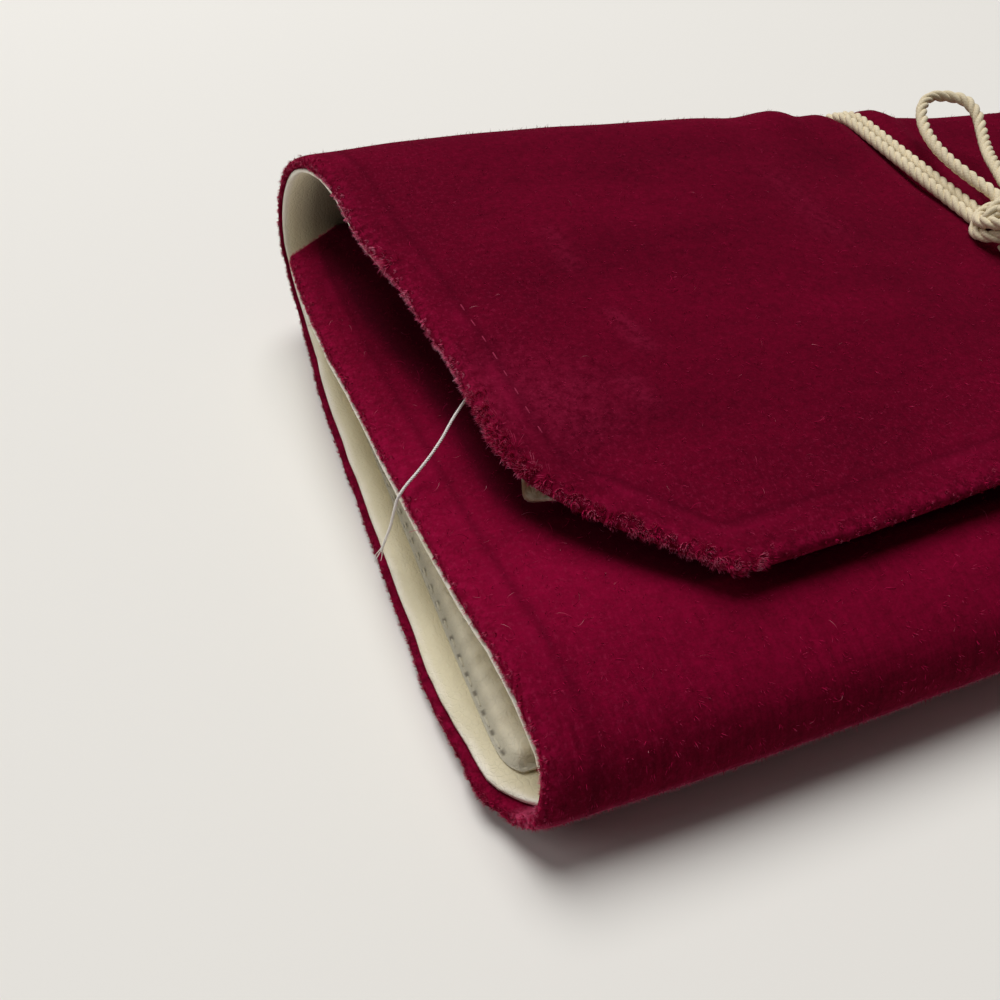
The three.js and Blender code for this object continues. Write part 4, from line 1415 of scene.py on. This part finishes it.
def leatherMaterial(name, look, stitch=None):
    material, board, shader = newMaterial(name, Roughness=0.5, Sheen_Weight=0.1, Sheen_Roughness=0.4,
                                          Specular_IOR_Level=0.35)
    place = board.place()
    cloud, crease, fine = [board.noise(place, *leatherGrain[label]) for label in ("cloud", "crease", "fine")]
    cells = board.add("ShaderNodeTexVoronoi", {"feature": "DISTANCE_TO_EDGE"},
                      {"Vector": place, "Scale": leatherGrain["cells"]})
    much = leatherMix
    colour = board.mix(board.step(cloud, *much["cloud"]), look["lit"], look["shade"])
    worn = board.step(board.attribute("edge"), *much["wornEdge"]) * board.step(crease, *much["wornCrease"])
    colour = board.mix(worn * much["wornMost"], colour, look["worn"])
    # painted shade inside the rolled back
    colour = board.mix(board.attribute("inside") * much["shadeInsideMost"], colour, liningLook["inside"])
    # darker and browner on the lining's tip that shows at the flap's corner
    dull = board.step(board.attribute("dull"), *much["dull"]) * board.step(crease, *much["tipDarkeningCrease"])
    colour = board.mix(dull, colour, liningLook["dull"])
    height = crease * look["relief"] + board.step(cells, *much["cellWall"]) * much["cellHeight"]
    height = height + fine * much["fineHeight"]
    if stitch:
        beat = board.sum("COSINE", board.attribute("seamRun") * (math.tau / stitch))
        off = board.sum("ABSOLUTE", board.attribute("seamAway"))
        shadedGroove = board.step(off, *much["shadedGroove"])
        shadedHole = board.step(off, *much["shadedHole"]) * board.step(beat, *much["holeBeat"])
        # painted shade in the seam's groove and in the needle holes
        colour = board.mix(shadedGroove * much["shadedGrooveMost"], colour, liningLook["shadedGroove"])
        colour = board.mix(shadedHole * much["shadedHoleMost"], colour, liningLook["shadedHole"])
        height = height - shadedGroove * much["sunkDepth"] - shadedHole * much["holeDepth"]
    feed(shader, Base_Color=colour, Roughness=much["plainRough"] + crease * much["creaseRough"],
         Normal=board.bump(height, much["bump"], leatherGrain["bump"]))
    return material


def setbackAt(part, share):
    # how far the lining lies behind the velvet's cut side
    back = liningSetback
    if part in ("panel", "crown"):
        return back["panel"]
    if part == "fold":
        late = smooth((share - back["foldFrom"]) / (1 - back["foldFrom"]))
        drawn = back["foldIn"] * math.sin(math.pi * min(1.0, share / back["foldInTo"]))
        return lerp(back["corner"], back["panel"], late) + drawn
    if part == "rise":
        return lerp(back["base"], back["corner"], share ** back["riseCurve"])
    if part == "back":
        return lerp(back["base"], back["flapRoot"], share)
    if part == "flap" and share <= cut["flapCornerShare"]:
        return lerp(back["flapRoot"], back["flapCorner"], smooth(share / cut["flapCornerShare"]))
    return back["flapEnd"] if part == "flap" else back["base"]


def baseShare(part, share):
    return {"backFlat": 1.0, "frontFlat": 1.0, "rise": 1.0 - liningPuff["riseLess"] * share}.get(part, 0.0)


def shadeInsideShare(part, share):
    # painted shade: the lining is painted darker inside the rolled back
    return {"back": float(smooth(share / liningLook["backOver"])), "flap": 1.0}.get(part, 0.0)


creamLeather = leatherMaterial("creamLeather", liningLook)
liningGrid = sheetGrid(liningLay["step"], liningFine, liningLay["flapPieces"], liningLay["stops"])
liningLeft = liningGrid["columns"][None, :] < 0
tip = bell(liningGrid["along"] - cornerAlong(liningGrid) + liningTip["before"], liningTip["spread"])[:, None]
tipShown = tip * liningLeft * np.exp(-liningGrid["side"] / liningTip["depth"])
liningBehind = rowValues(liningGrid, setbackAt)[:, None]
liningSide = lerp(liningBehind, liningTip["out"], tip * liningLeft) + edgeWaves(liningGrid)
liningOff = -cut["layerGap"] - liningTip["droop"] * tipShown
thin = liningLay["edgeThin"]
liningThick = cut["liningThickness"] * lerp(thin, 1.0, smooth(liningGrid["edge"] / liningLay["edgeRound"]))
rumple = np.array([1 + waveAt(0, v, liningPuff["rumple"]) for v in liningGrid["along"]])[:, None]
arch = np.sin(math.pi * np.clip(liningGrid["side"] / liningPuff["width"], 0, 1)) ** liningPuff["curve"]
puff = liningPuff["height"] * rumple * arch * rowValues(liningGrid, baseShare)[:, None]
liningUpper = placeGrid(liningGrid, liningOff, liningSide)
liningLower = placeGrid(liningGrid, liningOff - liningThick - puff, liningSide)
# painted shade inside the rolled back, fading in from the cut sides
inside = smooth((liningGrid["side"] - liningLook["shadeInsideFrom"]) / liningLook["shadeInsideOver"])
inside = inside * rowValues(liningGrid, shadeInsideShare)[:, None]
liningMesh = slabMesh("creamLining", liningGrid, liningUpper, liningLower, dull=tipShown, inside=inside)
creamLining = finishPiece(link("creamLining", liningMesh, creamLeather), "lining", "lining")

# Pocket panel on the base lining, drawn in at each stitch of its seam
pocketCut = {
    "thickness": 0.6, "sideMargin": 3.5, "backMargin": 7.6, "frontShare": 0.93, "step": 2.0, "stitch": 3.0,
    "seamIn": 0.4, "seamHalf": 96, "frontHalf": 92,
    # the leather swells from the seam, with pleats between the stitches and a crumple over all
    "swell": 1.4, "swellOver": 1.5, "swellCurve": 1.3, "swellLeft": 0.55, "nearSeam": 4.0, "pucker": 1.2,
    "pleatReach": 1.8, "pleatFrom": 0.5, "crumple": 0.8, "crumpleFar": 0.25,
    "creases": ((1.0, 5.0, 51.0), (0.6, 2.2, 57.0)),
    "edgeThin": 0.35, "edgeFrom": 0.2, "edgeRound": 1.2, "cornerIn": 1.8, "cornerReach": 1.3,
}
pocketRows = {"frontFlat": 34, "backFlat": 56, "rise": 46}
pocketEnds = {"frontFlat": (), "backFlat": (0.985, 1.0), "rise": (0.955, 0.974, 0.988, 1.0)}
pocketLook = {"lit": rgb(250, 241, 216), "shade": rgb(240, 229, 203), "worn": rgb(248, 242, 224),
              "relief": 1.2}
pocketLeather = leatherMaterial("pocketLeather", pocketLook, pocketCut["stitch"])


def pocketGrid():
    columns = columnPlaces(pocketCut["step"])
    back = cut["baseBackReach"] - max(cut["leftEnd"][0], cut["rightEnd"][0]) - pocketCut["backMargin"]
    shares = {part: sorted({*(np.arange(n) / n), *pocketEnds[part]}) for part, n in pocketRows.items()}
    upTo = pocketCut["frontShare"]
    sections = []
    for across in columns:
        frontFlat, (part, length, lift) = stretchesAt(across)[1][:2]
        startZ = startHeight(across)
        front = follow(startZ, -1, [frontFlat, (part, length * upTo, lift * upTo)], shares)
        sections.append(front[::-1] + follow(startZ, 1, [("backFlat", back, 0)], shares)[1:])
    grid = gridOf(columns, sections)
    count = len(grid["part"])
    grid["inset"] = np.full(count, pocketCut["sideMargin"])
    side = (halfWidth - pocketCut["sideMargin"]) * (1 - np.abs(columns))
    grid["side"] = np.repeat(side[None, :], count, axis=0)
    grid["edge"] = np.minimum(grid["side"], grid["along"][:, None])
    grid["wave"] = np.zeros_like(grid["y"])
    return grid


def pocketSwelling():
    # how far the pocket stands off the lining
    fromSeam = np.maximum(seamAway, 0)
    near = np.exp(-fromSeam / pocketCut["nearSeam"])
    rise = 1 - np.exp(-(fromSeam / pocketCut["swellOver"]) ** pocketCut["swellCurve"])
    left = pocketCut["swellLeft"]
    swelling = pocketCut["swell"] * rise * lerp(left, 1.0, near)
    beat = 0.5 + 0.5 * np.cos(seamRun * math.tau / pocketCut["stitch"])
    pleats = np.exp(-fromSeam / pocketCut["pleatReach"]) * (1 - np.exp(-fromSeam / pocketCut["pleatFrom"]))
    creases = [[waveAt(run, v, pocketCut["creases"]) for run in pocketAcross] for v in pockets["along"]]
    crumple = pocketCut["crumple"] * np.array(creases) * (pocketCut["crumpleFar"] + near)
    crumple = crumple * (1 - np.exp(-fromSeam))
    swelling = np.maximum(swelling + pocketCut["pucker"] * ((0.5 - beat) * pleats + crumple), 0.0)
    full = smooth((pockets["edge"] - pocketCut["edgeFrom"]) / pocketCut["edgeRound"])
    return swelling + pocketCut["thickness"] * lerp(pocketCut["edgeThin"], 1.0, full)


pockets = pocketGrid()
pocketAcross = pockets["columns"] * pocketCut["seamHalf"]
seamAway = pockets["edge"] - pocketCut["seamIn"]
frontSeam = pockets["along"][:, None] < pockets["side"]
seamRun = np.where(frontSeam, pocketAcross[None, :], pockets["along"][:, None])
pocketOffset = -cut["layerGap"] * 2 - cut["liningThickness"]
cornerTurn = pocketCut["cornerIn"] * np.exp(-pockets["along"] / pocketCut["cornerReach"])[:, None]
pocketTop = placeGrid(pockets, pocketOffset - pocketSwelling(), cornerTurn)
pocketUnder = placeGrid(pockets, np.full_like(pockets["y"], pocketOffset), cornerTurn)
pocketMesh = slabMesh("pocketPanel", pockets, pocketUnder, pocketTop, seamAway=seamAway, seamRun=seamRun)
pocketPanel = finishPiece(link("pocketPanel", pocketMesh, pocketLeather), "lining", "pocket_panel")

# Stitches: the pocket's seam, and a bit of the flap's sewing line that shows through the pile
stitchCut = {"length": 1.5, "radius": 0.15, "sides": 6, "smallest": 0.85, "largest": 1.1,
             "rings": ((-0.5, 0.35), (-0.38, 0.85), (0.0, 1.0), (0.38, 0.85), (0.5, 0.35))}
pocketSeam = {"lift": 0.02, "seed": 3, "points": 6, "start": 1.5, "endGap": 1.0, "nearRows": 8}
flapSeam = {"from": 0.42, "to": 0.71, "stitch": 3.0, "lift": -0.09, "seed": 6}
seamThread = cottonMaterial("seamThread", (0.68, 0.63, 0.5), (0.52, 0.48, 0.37), 0.3)
redThread = cottonMaterial("redThread", (0.32, 0.03, 0.075), (0.16, 0.008, 0.028), 0.3, 0.0, 0.02)


def stitchShape():
    # a short bit of thread along Z, with round ends
    sides, rings = stitchCut["sides"], stitchCut["rings"]
    angles = [math.tau * k / sides for k in range(sides)]
    points = [(wide * stitchCut["radius"] * math.cos(a) * mm, wide * stitchCut["radius"] * math.sin(a) * mm,
               at * stitchCut["length"] * mm) for at, wide in rings for a in angles]
    faces = []
    for low in range(0, (len(rings) - 1) * sides, sides):
        for k in range(sides):
            following = (k + 1) % sides
            faces.append((low + k, low + following, low + sides + following, low + sides + k))
    faces.append(tuple(range(sides))[::-1])
    faces.append(tuple(range(len(points) - sides, len(points))))
    mesh = newMesh("stitchShape", points, faces)
    setFloat(mesh, "along", [p[2] for p in points])
    setFloat(mesh, "around", [k / sides for _ in rings for k in range(sides)])
    return link("stitchShape", mesh)


def stitchTree():
    tree, board, value = newTree("stitchRow", {
        "Stitch": "object", "Spacing": 0.003, "Seed": 3, "Material": None})
    spaced = board.node("GeometryNodeCurveToPoints", {"mode": "LENGTH"},
                        {"Curve": value["Geometry"], "Length": value["Spacing"]})
    places, turned = board.wires(spaced, 0, "Rotation")
    shape = board.node("GeometryNodeObjectInfo", None, {"Object": value["Stitch"]})
    row = board.add("GeometryNodeInstanceOnPoints", None, {
        "Points": places, "Instance": Wire(board, shape.outputs["Geometry"]), "Rotation": turned,
        "Scale": board.random(stitchCut["smallest"], stitchCut["largest"], value["Seed"])})
    board.deliver(row, value["Material"])
    return tree


stitchRow = stitchTree()


def sewRow(name, lines, lift, spacing, seed, thread):
    shape = stitchShape()
    curve = routeCurve(*[toFrame(np.array(line) + np.array([0, 0, lift])) for line in lines])
    mesh = runNodes(name, curve, stitchRow, {
        "Stitch": shape, "Spacing": spacing * mm, "Seed": seed, "Material": thread})
    dropTemporary(curve)
    dropTemporary(shape)
    print(name, len(mesh.polygons), "faces")
    return finishPiece(link(name, mesh), "thread")


def alongLine(at, run, line):
    return np.column_stack([np.interp(at, run, [p[k] for p in line]) for k in range(3)])


def sideLine(fromEdge):
    # along one side of the pocket, for a whole number of stitches
    columns = fromEdge[:pocketSeam["nearRows"]]
    sideAt = pockets["side"][0, columns]
    line = [[np.interp(pocketCut["seamIn"], sideAt, row[columns, k]) for k in range(3)] for row in pocketTop]
    stitch, points = pocketCut["stitch"], pocketSeam["points"]
    length = pockets["along"][-1] - pocketSeam["endGap"]
    at = stitch * pocketSeam["start"] + np.arange(int(length / stitch * points)) * stitch / points
    at = at[at < length]
    at = at[:(len(at) - 1) // points * points + 1]
    return alongLine(at, pockets["along"], line)


def frontLine():
    # along the pocket's front edge
    rows = np.arange(pocketSeam["nearRows"])
    line = [[np.interp(pocketCut["seamIn"], pockets["along"][rows], pocketTop[rows, c, k]) for k in range(3)]
            for c in range(pocketTop.shape[1])]
    stitch = pocketCut["stitch"]
    half = stitch * (math.floor(pocketCut["frontHalf"] / stitch) + 0.5)
    at = np.linspace(-half, half, round(2 * half / stitch * pocketSeam["points"]) + 1)
    return alongLine(at, pocketAcross, line)


fromLeftEdge = np.arange(len(pocketAcross))
seamLines = (sideLine(fromLeftEdge), sideLine(fromLeftEdge[::-1]), frontLine())
pocketStitches = sewRow("pocketStitches", seamLines, pocketSeam["lift"], pocketCut["stitch"],
                        pocketSeam["seed"], seamThread)
leftHalf = slice(0, columnCount // 2)
sewnRows = flapRows & (coverGrid["share"] > flapSeam["from"]) & (coverGrid["share"] < flapSeam["to"])
flapLine = [[np.interp(velvetLook["sewingLine"], coverGrid["side"][r, leftHalf], coverUpper[r, leftHalf, k])
             for k in range(3)] for r in np.flatnonzero(sewnRows)]
pilePieces.append(sewRow("flapStitches", [flapLine], flapSeam["lift"], flapSeam["stitch"], flapSeam["seed"],
                         redThread))

# Stage and light
stageLook = {"floor": rgb(234, 231, 225), "size": 5.0, "level": -0.0002, "worldStrength": 0.064,
             "worldColour": (1.0, 0.985, 0.96, 1.0)}
lamps = {"overheadBack": {"place": (-0.1, 0.75, 1.75), "size": 1.5, "power": 36.5},
         "leftFill": {"place": (-1.2, 0.25, 0.75), "size": 0.9, "power": 3.0}}
reach = stageLook["size"] / 2
floorCorners = [(x * reach, y * reach, stageLook["level"]) for x, y in ((-1, -1), (1, -1), (1, 1), (-1, 1))]
floorMesh = newMesh("paleTable", floorCorners, [(0, 1, 2, 3)], smoothed=False)
tableMaterial = newMaterial("paleTable", Roughness=0.75, Base_Color=stageLook["floor"],
                            Specular_IOR_Level=0.15)[0]
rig.stage(link("paleTable", floorMesh, tableMaterial))
world = bpy.data.worlds.new("studio")
bpy.context.scene.world = world
world.use_nodes = True
sky = world.node_tree.nodes["Background"]
sky.inputs["Color"].default_value = stageLook["worldColour"]
sky.inputs["Strength"].default_value = stageLook["worldStrength"]
for name, lamp in lamps.items():
    data = bpy.data.lights.new(name, "AREA")
    data.shape = "DISK"
    data.size = lamp["size"]
    data.energy = lamp["power"]
    light = link(name, data)
    light.location = lamp["place"]
    light.rotation_euler = (-Vector(lamp["place"])).to_track_quat("-Z", "Y").to_euler()
bpy.context.scene.view_settings.view_transform = "Standard"
print("stage and lamps set")


# Flat sizes of the cloth
def flatSize(grid, setback=0.0):
    widths = cut["rollWidth"] - 2 * (grid["inset"] + setback)
    area = float(np.sum((widths[1:] + widths[:-1]) / 2 * np.diff(grid["along"])))
    return (float(widths.max()) * mm, float(grid["along"][-1]) * mm), area * mm * mm


coverFlat, coverArea = flatSize(coverGrid)
liningFlat, liningArea = flatSize(liningGrid, cut["liningSetback"])
pocketFlat, pocketArea = flatSize(pockets)
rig.sheet(velvetCover, flat=coverFlat, held="folded", area=coverArea, with_pieces=pilePieces)
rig.sheet(creamLining, flat=liningFlat, held="folded", rests_on=[velvetCover], area=liningArea)
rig.sheet(pocketPanel, flat=pocketFlat, held="laid", rests_on=[creamLining], area=pocketArea,
         with_pieces=[pocketStitches])
print("flat sizes", coverFlat, liningFlat, pocketFlat)

visualLow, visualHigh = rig.bounds()
with open("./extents.json", "w") as sizeFile:
    json.dump({"cad": [list(cadLow), list(cadHigh)], "visual": [list(visualLow), list(visualHigh)]}, sizeFile)
